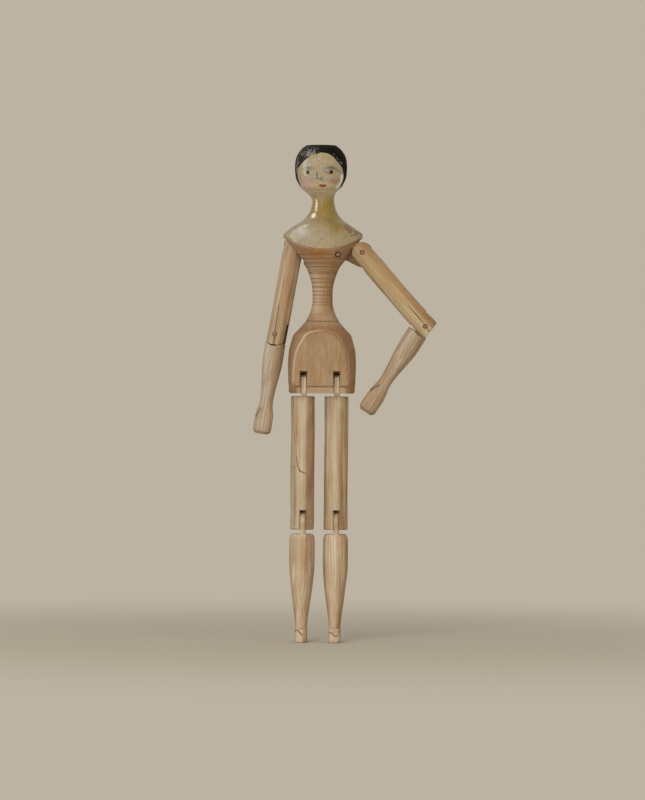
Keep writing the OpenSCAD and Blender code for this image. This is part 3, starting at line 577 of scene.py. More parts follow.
class Tree:
    """The nodes of a material or a world. A colour is a hex triplet or three linear shares."""

    def __init__(self, nodes):
        nodes.nodes.clear()
        self.nodes = nodes

    def node(self, kind, inputs=(), **settings):
        """Puts a node with its settings, and its inputs by name or number: a wire is linked and a value is set."""
        node = self.nodes.nodes.new("ShaderNode" + kind)
        for key, value in settings.items():
            setattr(node, key, value)
        for key, value in dict(inputs).items():
            socket = node.inputs[key]
            if isinstance(value, Wire):
                self.nodes.links.new(value.socket, socket)
            elif socket.type == "RGBA":
                socket.default_value = (*(colour(value) if isinstance(value, str) else value), 1)
            else:
                socket.default_value = value
        return node

    def put(self, kind, inputs=(), output=0, **settings):
        return Wire(self, self.node(kind, inputs, **settings).outputs[output])

    def maths(self, operation, *values):
        return self.put("Math", enumerate(values), operation=operation)

    def mix(self, share, a, b):
        return self.put("Mix", {0: share, 2: a, 3: b}, data_type="FLOAT")

    def layers(self, base, *layers):
        """Lays each (share, colour) over what is below, or (share, colour, way of blending)."""
        for share, over, *way in layers:
            base = self.put("Mix", {0: share, 6: base, 7: over}, 2, data_type="RGBA", blend_type=(way or ["MIX"])[0])
        return base

    def noise(self, q, scale, detail, roughness, shift):
        """Noise over coordinates that are stretched by a scale for each axis, in marks per millimetre."""
        stretched = self.put("VectorMath", {0: q, 1: scale, 2: (shift, 0.7 * shift, 1.3 * shift)},
                             operation="MULTIPLY_ADD")
        return self.put("TexNoise", {"Vector": stretched, "Scale": 1.0, "Detail": detail, "Roughness": roughness},
                        "Fac")

    def read(self, name):
        """A field that the piece carries, or 0."""
        return self.put("Attribute", output="Fac", attribute_name=name)

    def split(self, q):
        """The three coordinates of q."""
        node = self.node("SeparateXYZ", {0: q})
        return [Wire(self, socket) for socket in node.outputs]

    def grain(self, place=np.eye(4)):
        """Object coordinates in millimetres, turned so that Z runs along the piece and its joint is the origin. For a
        mirrored piece, X is mirrored first."""
        mirrored = np.linalg.det(place[:3, :3]) < 0
        back = Matrix(to_side(place, -1 if mirrored else 1).tolist()).inverted()
        return self.put("Mapping", {
            "Vector": self.put("TexCoord", output="Object"), "Location": back.translation,
            "Rotation": back.to_3x3().to_euler("XYZ"), "Scale": Vector((-1 if mirrored else 1, 1, 1)) / MM},
            vector_type="POINT")

    def surface(self, body, roughness, height, strength, distance, specular=0.3, **coat):
        bump = self.put("Bump", {"Height": height, "Strength": strength, "Distance": distance * MM})
        shader = self.put("BsdfPrincipled", {"Base Color": body, "Roughness": roughness, "Normal": bump,
                                             "Specular IOR Level": specular, **coat})
        self.node("OutputMaterial", {"Surface": shader})


def new_material(name):
    """A material with an empty node tree."""
    material = bpy.data.materials.new(name)
    material.use_nodes = True
    return material, Tree(material.node_tree)


def bare_wood(tree, q, colours, spacing, pith, shift, tone, contrast=1.0):
    """Old bare wood. Growth rings lie about a pith line beside the piece, bent by slow noise, so they run up the
    surface as long lines. Fine and medium fibres, short pores and slow stains lie over them."""
    wander = tree.noise(q, (0.05, 0.05, 0.008), 2, 0.5, shift)
    ripple = tree.noise(q, (0.4, 0.4, 0.02), 2, 0.5, shift + 5)
    x, y, z = tree.split(q)
    x, y = x - pith[0], y - pith[1]
    far = (x * x + y * y).maths("SQRT") + wander * 8.0 + ripple * 1.4 + z * 0.01
    ring = (far / spacing).maths("FRACT")
    late = ring.ease(0.45, 0.88) * ring.ease(1.0, 0.92)
    fibre = tree.noise(q, (3.2, 3.2, 0.09), 4, 0.6, shift + 9)
    fine = tree.noise(q, (7.5, 7.5, 0.35), 3, 0.65, shift + 13)
    streak = tree.noise(q, (0.75, 0.75, 0.022), 3, 0.55, shift + 17)
    cloud = tree.noise(q, (0.11, 0.11, 0.05), 3, 0.5, shift + 23)
    band = tree.noise(q, (0.24, 0.24, 0.012), 3, 0.6, shift + 37)
    pores = tree.noise(q, (5.0, 5.0, 0.5), 2, 0.5, shift + 29).ease(0.64, 0.74)
    half = 0.5 * contrast
    body = tree.layers(
        colours.pale_wood, (streak.ease(0.32, 0.68, 0.5 - half, 0.5 + half), colours.deep_wood),
        (band.ease(0.42, 0.64, 0.0, 0.6 * contrast), colours.warm_wood),
        (late * cloud.ease(0.3, 0.7, 0.2 * contrast, half), colours.red_grain),
        (fibre.ease(0.42, 0.78, 0.0, 0.4 * contrast), colours.red_grain),
        (fine.ease(0.25, 0.5, 0.22, 0.0), [min(1, 1.5 * c) for c in colours.pale_wood]),
        (pores * 0.5, colours.grime_and_shade), (cloud.ease(0.45, 0.75, 0.0, 0.22), colours.deep_wood, "MULTIPLY"),
        (1.0, tone, "MULTIPLY"))
    return body, fibre * 0.55 - late * 0.25 + fine * 0.35 - pores * 0.5, cloud


def limb_wood(name, place, shift, pith, shape, colours, tone):
    """Bare wood for a limb: paler where its field of painted light is high, darkened on its sides by painted shade by
    its side field, darker by its field of dirt and painted shade, and cracked where its crack field is low."""
    material, tree = new_material(name)
    q = tree.grain(place)
    wood, height, cloud = bare_wood(tree, q, colours, shape.grain_spacing / MM, pith, shift, tone)
    rough = tree.noise(q, (1.5, 1.5, 0.5), 3, 0.6, shift + 31)
    crack = (tree.read("crack") + (rough * 0.5 - 0.25)).ease(0.42, 0.12)
    body = tree.layers(
        # Painted shade on the sides.
        wood, (tree.read("side") * cloud.ease(0.35, 0.65, 0.7, 1.0), colours.side_shade, "MULTIPLY"),
        # Painted light: a pale colour on the tongues and down the legs.
        (tree.read("painted_light"), "#f0dcbc"),
        # Dirt, and painted shade in the slots and creases.
        ((tree.read("grime_and_shade") * rough.ease(0.3, 0.7, 0.6, 1.2)).held(), colours.grime_and_shade), (crack * 0.8, "#4a2e1a"))
    tree.surface(body, cloud.ease(0.3, 0.7, 0.5, 0.68), height - crack * 2.0, 0.5, 0.22)
    return material


def dark_material(name, place, shift, colours, pale=0.0, shade_dim=1.0):
    """The darker, harder wood of a link or a peg, with fine close grain and a dull rubbed sheen. It is part of the way
    to the pale wood, and dimmed by a factor, which on the links paints the shade of the pocket they turn in."""
    material, tree = new_material(name)
    q = tree.grain(place)
    fibre = tree.noise(q, (3.5, 3.5, 0.25), 4, 0.6, shift)
    streak = tree.noise(q, (0.9, 0.9, 0.08), 3, 0.55, shift + 7)
    blot = tree.noise(q, (0.35, 0.35, 0.35), 3, 0.6, shift + 11)
    light = [1.25 * c + pale * (w - 1.25 * c) for c, w in zip(colours.dark_wood, colours.pale_wood)]
    body = tree.layers(
        light, (streak.ease(0.3, 0.7), colours.dark_wood), (1.0, [shade_dim] * 3, "MULTIPLY"),
        (fibre.ease(0.4, 0.75, 0.0, 0.6), [0.55 * c for c in colours.dark_wood]),
        (blot.ease(0.5, 0.75, 0.0, 0.45), colours.grime_and_shade), (tree.read("rim") * 0.6, colours.grime_and_shade))
    tree.surface(body, fibre.ease(0.3, 0.7, 0.38, 0.6), fibre, 0.4, 0.12, 0.4)
    return material


def body_material(shape, colours):
    """Bare wood below the shoulders, and above them an old ground under yellow varnish, with a painted face and hair.
    The paint, hair and face fields are distances in millimetres or shares that the body's points carry."""
    material, tree = new_material("body_wood_and_paint")
    q, read = tree.grain(), tree.read
    wood, wood_height, cloud = bare_wood(tree, q, colours, shape.grain_spacing / MM, (-70.0, 16.0), 2.0,
                                         (0.66, 0.60, 0.55), 0.5)
    rag = tree.noise(q, (0.9, 0.9, 0.9), 4, 0.6, 41)
    ragged = rag * 1.8 + (tree.noise(q, (3.2, 3.2, 3.2), 3, 0.6, 43) * 0.6 - 1.2)
    wood = tree.layers(
        # Painted shade on the sides, and a painted highlight along the pelvis flat's lit edge.
        wood, (read("side") * 0.75, colours.side_shade, "MULTIPLY"), (read("ridge_highlight") * 0.7, colours.pale_wood),
        # Dark ring lines, and painted shade along the pelvis flat's edges.
        ((read("groove") * rag.ease(0.35, 0.6, 0.55, 1.0)).held() * 0.75, "#5e3d24"),
        ((read("stain") * rag.ease(0.3, 0.6, 0.45, 1.0)).held(), colours.stain))

    mottle = tree.noise(q, (0.33, 0.33, 0.26), 4, 0.62, 47)
    patch = tree.noise(q, (0.42, 0.42, 0.42), 3, 0.6, 61)
    speck = tree.noise(q, (1.7, 1.7, 1.4), 4, 0.65, 53)
    runs = tree.noise(q, (0.8, 0.8, 0.12), 3, 0.55, 59)
    dab = tree.noise(q, (0.5, 0.5, 0.5), 4, 0.6, 71)
    strokes = tree.noise(q, (2.2, 2.2, 1.1), 4, 0.7, 77)
    crackle = tree.put("TexVoronoi", {"Vector": q, "Scale": 0.42, "Randomness": 1.0}, "Distance",
                       feature="DISTANCE_TO_EDGE")
    cracks = (speck * 0.12 + crackle).ease(0.105, 0.07)
    face = read("face")
    worn = (read("worn") + (rag - 0.5)).ease(0.44, 0.6)
    bared = tree.layers("#8f7460", (runs.ease(0.4, 0.6), "#6b4a35"))
    x, y, z = tree.split(q)
    out = (x + HEAD_ASIDE).maths("ABSOLUTE")
    combed = tree.put("CombineXYZ", {0: out + z, 1: y, 2: z - out})
    # Pale scratches and painted highlights on the hair.
    scuff_and_highlight = read("scuff_and_highlight") * 0.17 + tree.noise(combed, (1.5, 0.7, 0.4), 4, 0.7, 67)
    hair = (ragged * 0.5 + read("hair")).ease(-0.15, 0.25)
    hair_colour = tree.layers([0.6 * c for c in colours.hair], (speck.ease(0.55, 0.72, 0.0, 0.2), "#3a2f24"),
                              (scuff_and_highlight.ease(0.635, 0.685, 0.0, 0.85), "#9a958a"))
    paint = tree.layers(
        colours.gesso, ((read("varnish") + (mottle * 1.3 - 0.65)).held(), colours.varnish),
        # Ochre runs, and painted shade on the neck's right side.
        ((read("ochre_and_shade") * runs.ease(0.3, 0.6, 0.4, 1.0)).held(), "#80681c"),
        (face * patch.ease(0.5, 0.64, 0.0, 0.5), "#ad8472"), (face * dab.ease(0.47, 0.62, 0.05, 0.75), "#a08a4a"),
        (dab.ease(0.46, 0.34) * (face * 0.5 + 0.12), "#a3a49f"),
        # Painted light on the lower face.
        (face * strokes.ease(0.54, 0.66, 0.0, 0.8), "#77705a"), (read("low"), "#c4ae8a"),
        # Painted highlights: a pale patch on the left shoulder and a pale crescent at the right edge of the face.
        (read("yoke_highlight") * 0.8, "#b9b6b4"), (read("shine"), "#e9e4da"), (speck.ease(0.6, 0.8, 0.0, 0.25), "#b3a88f"),
        (speck.ease(0.42, 0.28, 0.0, 0.4), "#6d5a36"), (cracks * 0.12, "#5c4a30"),
        (read("blush_right") * 0.85, "#bc9694"), (read("blush_left") * 0.5, "#94522c"),
        # Grey strokes over the eyes, and painted shade beside and under the nose.
        ((read("brows_and_nose_shade") * speck.ease(0.35, 0.55, 0.55, 1.0) * 1.15).held(), "#505757"),
        (read("mouth").ease(0.0, 0.3) * 0.95, [0.8 * c for c in colours.lips]),
        # A painted shadow under the jaw.
        (read("eyes").ease(0.0, 0.2), "#151310"), (read("chin_shadow"), "#6b5936"), (worn * 0.9, bared), (hair, hair_colour))

    painted = (ragged * 0.7 + read("paint")).ease(-0.12, 0.2)
    # Dirt, and painted shade in the slots and pockets.
    grime_and_shade = (read("grime_and_shade") * rag.ease(0.3, 0.65, 0.6, 1.1)).held()
    # A brown line along the paint's lower edge is painted shade under the yoke's rim.
    body = tree.layers(wood, (painted, paint), (painted * (1.0 - painted) * 2.4, "#6a4526"), (grime_and_shade, colours.grime_and_shade))
    height = tree.mix(painted, wood_height, speck * 0.3 + (1.2 - cracks * 0.3) + hair * 0.5 - worn * 0.9)
    roughness = tree.mix(painted, cloud.ease(0.3, 0.7, 0.5, 0.66), hair * 0.5 + mottle.ease(0.3, 0.7, 0.26, 0.42))
    tree.surface(body, roughness, height, 0.45, 0.2, 0.2,
                 **{"Coat Weight": (painted - hair).held() * read("gloss"), "Coat Roughness": 0.16})
    return material


def show(piece, degrees, material, slot, node, **fields):
    """Gives a finished piece its fields, its shading, its material, its body, and the CAD node that it stands for. The
    slot is not used."""
    for name, values in fields.items():
        layer = piece.data.attributes.new(name, "FLOAT", "POINT")
        layer.data.foreach_set("value", np.asarray(values, np.float32))
    shade(piece, degrees)
    piece.data.materials.clear()
    piece.data.materials.append(material)
    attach(piece, frame_body(node))
    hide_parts(node)


def hole(radius, place, axis="Y", low=-20, high=20):
    """What cuts a peg's hole, a little wider than the peg."""
    return rod("hole", radius + PEG_PLAY, low, high, place, axis)


def within(v, width):
    """Which points lie inside a slot of a width, or on its walls."""
    return np.abs(v) < width / 2 + 0.05


def rim_at(a, b, radius, width):
    """A bell about a circle."""
    return bump_at(np.hypot(a, b), radius, width)


class DOLL_OT_turned_body(Operator):
    """Turns the body in one piece, shaves its shoulders oval and its pelvis flat, and saws its slots"""
    bl_idname = "doll.turned_body"
    bl_label = "Turned Body"

    def execute(self, context):
        shape, colours = context.scene.doll_shape, context.scene.doll_colours
        z = np.concatenate([np.arange(-HIP_DROP, CROWN_Z, 0.44), [CROWN_Z, -HIP_DROP + 0.5, -HIP_DROP + 1.0],
                            (np.array(TURNING_RINGS)[:CLOSE_RINGS, :1] + RING_ROWS).ravel(),
                            SCRIBE_Z + np.array(SCRIBE_ROWS), np.linspace(*NOSE_Z, 24)])
        z = np.unique(np.round(z, 2))[::-1]
        t = (np.arange(208) + 0.5) * 2 * math.pi / 208
        rows = body_points(z[:, None], t[None, :] + 0 * z[:, None], shape.ring_depth / MM, shape.nose_out / MM)
        torso = skin("turned_body", rows)
        cutters = []
        for side, arm in ARMS.items():
            cutters += self.cutters(arm, LEGS[side], to_side(np.eye(4), arm.sign))
        cutters.append(hole(CHEST_PEG_R, moved(CHEST_PEG[0], 0, CHEST_PEG[1]), low=-40, high=-CHEST_PEG_IN))
        cutters.append(hole(CHEST_PEG_R, moved(-CHEST_PEG[0], 0, CHEST_PEG[1]), low=CHEST_PEG_IN, high=40))
        carve(torso, cutters)
        show(torso, 38, body_material(shape, colours), "body_wood", "torso", **self.face_fields(torso),
             **self.body_fields(torso))
        return {"FINISHED"}

    def cutters(self, arm, leg, side):
        """The pocket that the arm's end turns in, the slot for the link, and the slot for the leg's tongue."""
        r = arm.arm_d / 2 + POCKET_PLAY
        spots = []
        for rise in np.radians([arm.rise, arm.rise + arm.lift]):
            tip = CHEST_PEG + arm.reach * np.array([math.cos(rise), math.sin(rise)])
            for tilt in np.radians(arm.tilts):
                spots += [tip, tip + RIM_R * np.array([math.sin(tilt), -math.cos(tilt)])]
        turns = np.vstack([turn_points(link_outline(arm), a) + CHEST_PEG
                           for a in (arm.rise - 2, arm.rise + arm.lift)])
        return [prism("pocket", support_outline(np.array(spots), r), -r, r, side),
                prism("link_slot", support_outline(turns, TURN_GAP), -LINK_SLOT / 2, LINK_SLOT / 2, side),
                slot_cutter("hip_slot", np.array(HIP_KERF) - [0, HIP_DROP], leg.hip, *HIP_WALLS,
                            side @ moved(HIP_PEG[0]))]

    def face_fields(self, torso):
        """What the material reads for the head: hair is the height above the hairline at that angle round the head,
        and the rest are bells and discs at their places."""
        x, y, z = coordinates(torso).T
        angle = np.degrees(np.arctan2(x - np.interp(z, ASIDE_Z, ASIDE), -y))
        front = y < 0
        seen = np.column_stack([x, z])
        head = (z > 62) & front
        line = np.interp(angle, HAIR_ANGLES, HAIR_LINE)

        spot = functools.partial(bell, x, z)
        # Pale scratches on the hair, most at the upper left, that are partly painted highlights.
        scuff_and_highlight = most(spot(-8, 7, 87, 5) + 0.9 * bump_at(angle, -64, 9) * bump_at(z, 79, 6),
                     0.8 * bump_at(angle, 46, 16) * bump_at(z - line, 2.2, 1.6))
        eyes = 1 - np.minimum(np.hypot(x + 9.1, z - 75.4), np.hypot(x - 5.0, z - 75.6)) / 1.2
        brow = most(0.8 * spot(-8.8, 3.2, 78.2 - 0.05 * (x + 8.4) ** 2, 0.7),
                    spot(5.0, 3.6, 78.3 - 0.06 * (x - 4.8) ** 2, 0.85))
        stroke = np.minimum(near_line(seen, (3.4, 74.6), (0.6, 76.4)), near_line(seen, (7.6, 77.6), (9.6, 76.0)))
        lash = most(spot(-8.9, 1.9, 76.5, 0.35), spot(5.2, 1.9, 76.7, 0.35), 0.7 * bump_at(stroke, 0, 0.5))
        # Painted shade: a grey line beside the nose and a dark patch under it.
        nose = 0.8 * bump_at(x, -3.3, 0.6) * step(z, 70.8, 72.0) * step(-z, -77.5, -74) + \
            0.5 * spot(-0.6, 0.5, 71.4, 0.9)
        lid = 0.45 * most(spot(-9.0, 2.6, 77.4, 1.0), spot(5.6, 3.4, 77.6, 1.1))
        lip = x + 0.1
        mouth = np.minimum(1.1 * (1 - (lip / 3.6) ** 2) * (1 - 0.4 * bump_at(lip, 0, 0.6)) - (z - 67.55),
                           1.05 * (1 - (lip / 2.6) ** 2) + (z - 67.6))
        # Painted shadow: dark lines under the jaw.
        chin_shadow = most(bump_at(z, 63.4 + 0.025 * (x + 1) ** 2, 0.3), 0.7 * bump_at(z, 64.8 + 0.025 * (x + 2) ** 2, 0.3))
        # A painted highlight: a pale crescent at the right edge of the face, as seen from the front.
        bow = near_line(seen, (11.2, 74.0), (10.8, 70.4), (8.0, 66.6))
        return dict(
            hair=np.clip(z - line, -3, 3), scuff_and_highlight=np.where(front, 1.25 * scuff_and_highlight - 0.25, -0.6),
            # Painted light: a paler wash over the lower face.
            face=head & (z < line), low=0.6 * head * step(-z, -72.5, -67) * step(z, 62, 64.5),
            eyes=np.where(front, eyes, -1), brows_and_nose_shade=front * most(brow, 0.9 * lash, nose, lid),
            mouth=np.where(front, mouth, -1), blush_right=front * spot(-10.3, 2.6, 70.0, 2.4),
            blush_left=front * spot(7.0, 2.4, 70.0, 2.0), chin_shadow=0.75 * chin_shadow * front * bump_at(x, -1, 6),
            shine=front * bump_at(bow, 0, 0.55))

    def body_fields(self, torso):
        """What the material reads for the shoulders and below. paint is the height above the line
        z = 29.7 + 0.0135 (x - 0.8)^2. arch is the distance inside the edge of the pelvis flat: what the flat cuts off,
        over its slope. The rest are bells and steps at their places."""
        x, y, z = coordinates(torso).T
        angle = np.degrees(np.arctan2(x - np.interp(z, ASIDE_Z, ASIDE), -y))
        front = y < 0
        seen = np.column_stack([x, z])
        radius = np.interp(z, OUTLINE_Z, OUTLINE_R)
        half = np.where(z > FLAT_FOOT_Z, FLAT_Y + (z - FLAT_FOOT_Z) * FLAT_SLOPE, 99)

        def over(dx, dz):
            r = np.interp(z + dz, OUTLINE_Z, OUTLINE_R)
            return np.sqrt(np.maximum(r * r - (x + dx) ** 2, 0)) - half - dz * FLAT_SLOPE
        spot = functools.partial(bell, x, z)
        slope = np.hypot((over(0.2, 0) - over(-0.2, 0)) / 0.4, (over(0, 0.2) - over(0, -0.2)) / 0.4)
        arch = over(0, 0) / np.maximum(slope, 0.25)
        pelvis, below = step(-z, 14.5, 17.5), step(-z, 52.9, 53.3)
        above = step(z, -53, -48)
        foot = step(np.interp(z, [-57, -52.9], [17.5, 16.6]) - np.abs(x), -0.3, 0.3)
        on_flat = np.where(z > FLAT_FOOT_Z, step(arch, -0.3, 0.25), foot)
        # Painted shade: the turned sides of the pelvis beside its flat, more on the right, the ends of the bevel, and
        # the right of the waist.
        side = most(pelvis * (1 - on_flat) * (0.75 + 0.25 * step(x, -5, 10)),
                    pelvis * below * step(np.abs(x), 13.5, 15.5),
                    step(z, -12, -4) * 0.65 * step(x / radius, 0.1, 0.6))
        # Painted highlight: a pale line along the lit upper left of the pelvis flat's edge, a pale patch on the left of
        # the waist, and the lit left end of the bevel.
        ridge_highlight = most(bump_at(arch, -0.6, 0.55) * pelvis * above * (0.25 + 0.75 * step(-x, -3, 3)),
                     0.55 * step(-x, -1.5, 4.0) * step(z, -11, -4) * step(-z, -25, -15) * front,
                     0.6 * below * pelvis * step(x, -15, -13.5) * step(-x, -15.5, -14))
        top_left = step(-x, -3, 4) * step(-z, 20, 24) * above
        # Dark lines in the turning rings and the scribed line, heavier on the left, and painted shade along the bevel's
        # top and round the edge of the pelvis flat, less at its lit upper left.
        groove = sum(depth * bump_at(z, at + 0.05, 0.4) for at, depth in TURNING_RINGS)
        groove = 1.25 * groove * (0.5 + 0.5 * step(-x, -9, 6)) + bump_at(z, SCRIBE_Z, 0.42) * 0.8
        groove = groove + on_flat * pelvis * 1.2 * bump_at(z, -52.8, 0.5) + \
            0.8 * pelvis * bump_at(arch, 0.2, 0.35) * (z > FLAT_FOOT_Z) * (1 - 0.5 * top_left)
        stain = bump_at(x, -3.5, 6.5) * step(z, 22, 28) + 0.3 * bump_at(x, 1, 7) * step(z, 4, 16)
        # More varnish, so a darker yellow, towards the right and down the neck's right; less under the painted
        # highlight on the left shoulder.
        varnish = 0.4 + 0.6 * bump_at(z, 54, 7) + 0.3 * step(x, -2, 12) - 0.45 * step(z, 61, 65) - \
            0.22 * step(-z, -44, -37) + 0.4 * step(x, 5, 9) * bump_at(z, 54, 7) - 0.35 * spot(-10.5, 4, 40.5, 4) * front
        # An ochre run down the right of the yoke, and painted shade down the right side of the neck.
        ochre_and_shade = most(bump_at(x, 5.5 + 0.25 * (52 - z), 4.5) * step(z, 36, 43) * step(-z, -63, -58) * front,
                     0.6 * step(angle, 50, 80) * bump_at(z, 56, 6) * front)
        tip = np.minimum(near_line(seen, (17.5, 37.2), (22.5, 40.2)), near_line(seen, (19.0, 40.6), (23.0, 38.6)))
        patch = near_line(seen, (14.3, 43.6), (16.6, 40.6))
        worn = most(0.95 * bump_at(patch, 0, 1.9) * front, 0.62 * spot(-0.4, 1.3, 35.5, 0.8) * front,
                    0.8 * bump_at(tip, 0, 0.9) * front, 0.6 * step(-x, 22.3, 23.6) * bump_at(z, 38, 2.0))
        # Painted shade: in the top of each hip slot and inside the shoulder pockets; a dark ring goes round each chest
        # peg.
        deep = (np.abs(np.abs(x) - HIP_PEG[0]) < 3.2) & (y > -10.4) & (y < 8.4) & (z > -45.6) & (z < -43.2)
        inside = (np.hypot(x, y) < radius - 1.0) & (np.abs(y) < 7.5) & (z > 5) & (z < 50)
        ring = rim_at(x - CHEST_PEG[0], z - CHEST_PEG[1], CHEST_PEG_R + 0.2, 0.4)
        return dict(
            # A painted highlight: a pale patch on the left shoulder.
            paint=np.maximum(z - 29.7 - 0.0135 * (x - 0.8) ** 2, -20), yoke_highlight=0.85 * spot(-12.3, 3.0, 39.8, 2.8) * front,
            side=np.clip(side, 0, 1), ridge_highlight=ridge_highlight, groove=np.clip(groove, 0, 1.2),
            stain=np.clip(stain, 0, 1) * 0.85 * front, varnish=varnish,
            gloss=0.15 + 0.8 * step(z, 42, 47) * step(-z, -65, -61), ochre_and_shade=0.9 * ochre_and_shade, worn=worn,
            grime_and_shade=most(0.5 * deep, 0.85 * inside, 0.9 * ring * (front & (np.abs(y) > 7))))


class DOLL_OT_shoulder_links(Operator):
    """Cuts the two flat links that join the arms to the chest"""
    bl_idname = "doll.shoulder_links"
    bl_label = "Shoulder Links"

    def execute(self, context):
        for side, arm in ARMS.items():
            link = prism(f"{side}_link", link_outline(arm), -LINK_T / 2, LINK_T / 2, at_chest(arm))
            edge = link.modifiers.new("edge", "BEVEL")
            edge.width, edge.segments, edge.limit_method = 0.3 * MM, 2, "ANGLE"
            edge.angle_limit = math.radians(50)
            # The links are dimmed as painted shade, for the shadowed pocket they turn in.
            material = dark_material(f"{side}_link_wood", at_chest(arm) @ turned("Y", 90), 3.0 + 4 * arm.seed,
                                     context.scene.doll_colours, shade_dim=0.75)
            show(link, 40, material, "link_wood", f"{side}_shoulder_link")
        return {"FINISHED"}


class DOLL_OT_upper_arms(Operator):
    """Whittles the two upper arms and saws the slots for their links and elbow tongues"""
    bl_idname = "doll.upper_arms"
    bl_label = "Upper Arms"

    def execute(self, context):
        shape, colours = context.scene.doll_shape, context.scene.doll_colours
        for side, arm in ARMS.items():
            place, elbow, d, length, knot = at_shoulder(arm), at_elbow(arm), arm.arm_d, arm.arm_len, arm.knot
            slant = math.tan(math.radians(arm.skew))
            end = -length - arm.cheek_end - d / 2 * slant
            z = np.linspace(d / 2, end, 150)
            swell = np.interp(z, [end, -length, d / 4 - length, d - length, d / 2], [knot / 2, knot, knot / 2, 0, 0])
            rows = limb_rows(z, d + swell, np.full(len(z), d), x=swell / 2, facets=shape.arm_facets,
                             seed=20 + arm.seed, cut=shape.facet_depth)
            piece = skin(f"{side}_upper_arm_wood", rows, place)
            wide = d / 2 + 1.5
            top = np.vstack([arc(0, 0, d / 2, 0, 180, 40), [[-wide, 0], [-wide, -80], [wide, -80], [wide, 0]]])
            across = np.linspace(-wide, wide, 81)
            low = -np.sqrt(np.maximum(CHEEK_R ** 2 - across ** 2, 0))
            if knot:
                low = np.where(across > 0, np.minimum(low, -CHEEK_R / 2), low)
            low = np.maximum(low, across * slant - arm.cheek_end)
            bottom = np.vstack([np.column_stack([across, low]), [[wide, 80], [-wide, 80]]])
            carve(piece, [prism("top", top, -20, 20, place), prism("bottom", bottom, -20, 20, elbow)], "INTERSECT")
            carve(piece, [
                block("slot", (-d, d), (-LINK_SLOT / 2, LINK_SLOT / 2), (-arm.fan - TURN_GAP, d), place),
                block("slot", (-d, d), (-ELBOW_SLOT / 2, ELBOW_SLOT / 2), (-arm.cheek_end - 8, 6.8), elbow),
                hole(ARM_PEG_R, place), hole(ARM_PEG_R, elbow)])
            material = limb_wood(f"{side}_upper_arm_grain", place, 60.0 + 9 * arm.seed, (-60.0, 14.0), shape,
                                 colours, arm.tone)
            show(piece, 34, material, "arm_wood", f"{side}_upper_arm", **self.fields(piece, arm))
        return {"FINISHED"}

    def fields(self, piece, arm):
        """Dirt and painted shade fill the slots, dark rings go round the pegs and a dark mark runs along a chipped
        corner, and crack is the distance from the cracks along the grain.
        """
        p = coordinates(piece)
        seen = p[:, [0, 2]]
        q, e = into(p, at_shoulder(arm)), into(p, at_elbow(arm))
        grime_and_shade = 0.7 * most(within(q[:, 1], LINK_SLOT) & (q[:, 2] > -arm.fan - 0.6),
                           within(e[:, 1], ELBOW_SLOT) & (e[:, 2] < 7.0),
                           *(rim_at(s[:, 0], s[:, 2], ARM_PEG_R + 0.1, 0.28) for s in (q, e)))
        if arm.chip:
            grime_and_shade = np.maximum(grime_and_shade, 0.6 * bump_at(near_line(seen, *arm.chip), 0, 0.9))
        crack = np.minimum(*(near_line(seen, *line) for line in arm.cracks))
        return dict(grime_and_shade=grime_and_shade, side=arm.browned[0] * browned(q, sign=arm.sign),
                    crack=np.where(p[:, 1] < 0, crack, NO_CRACK))


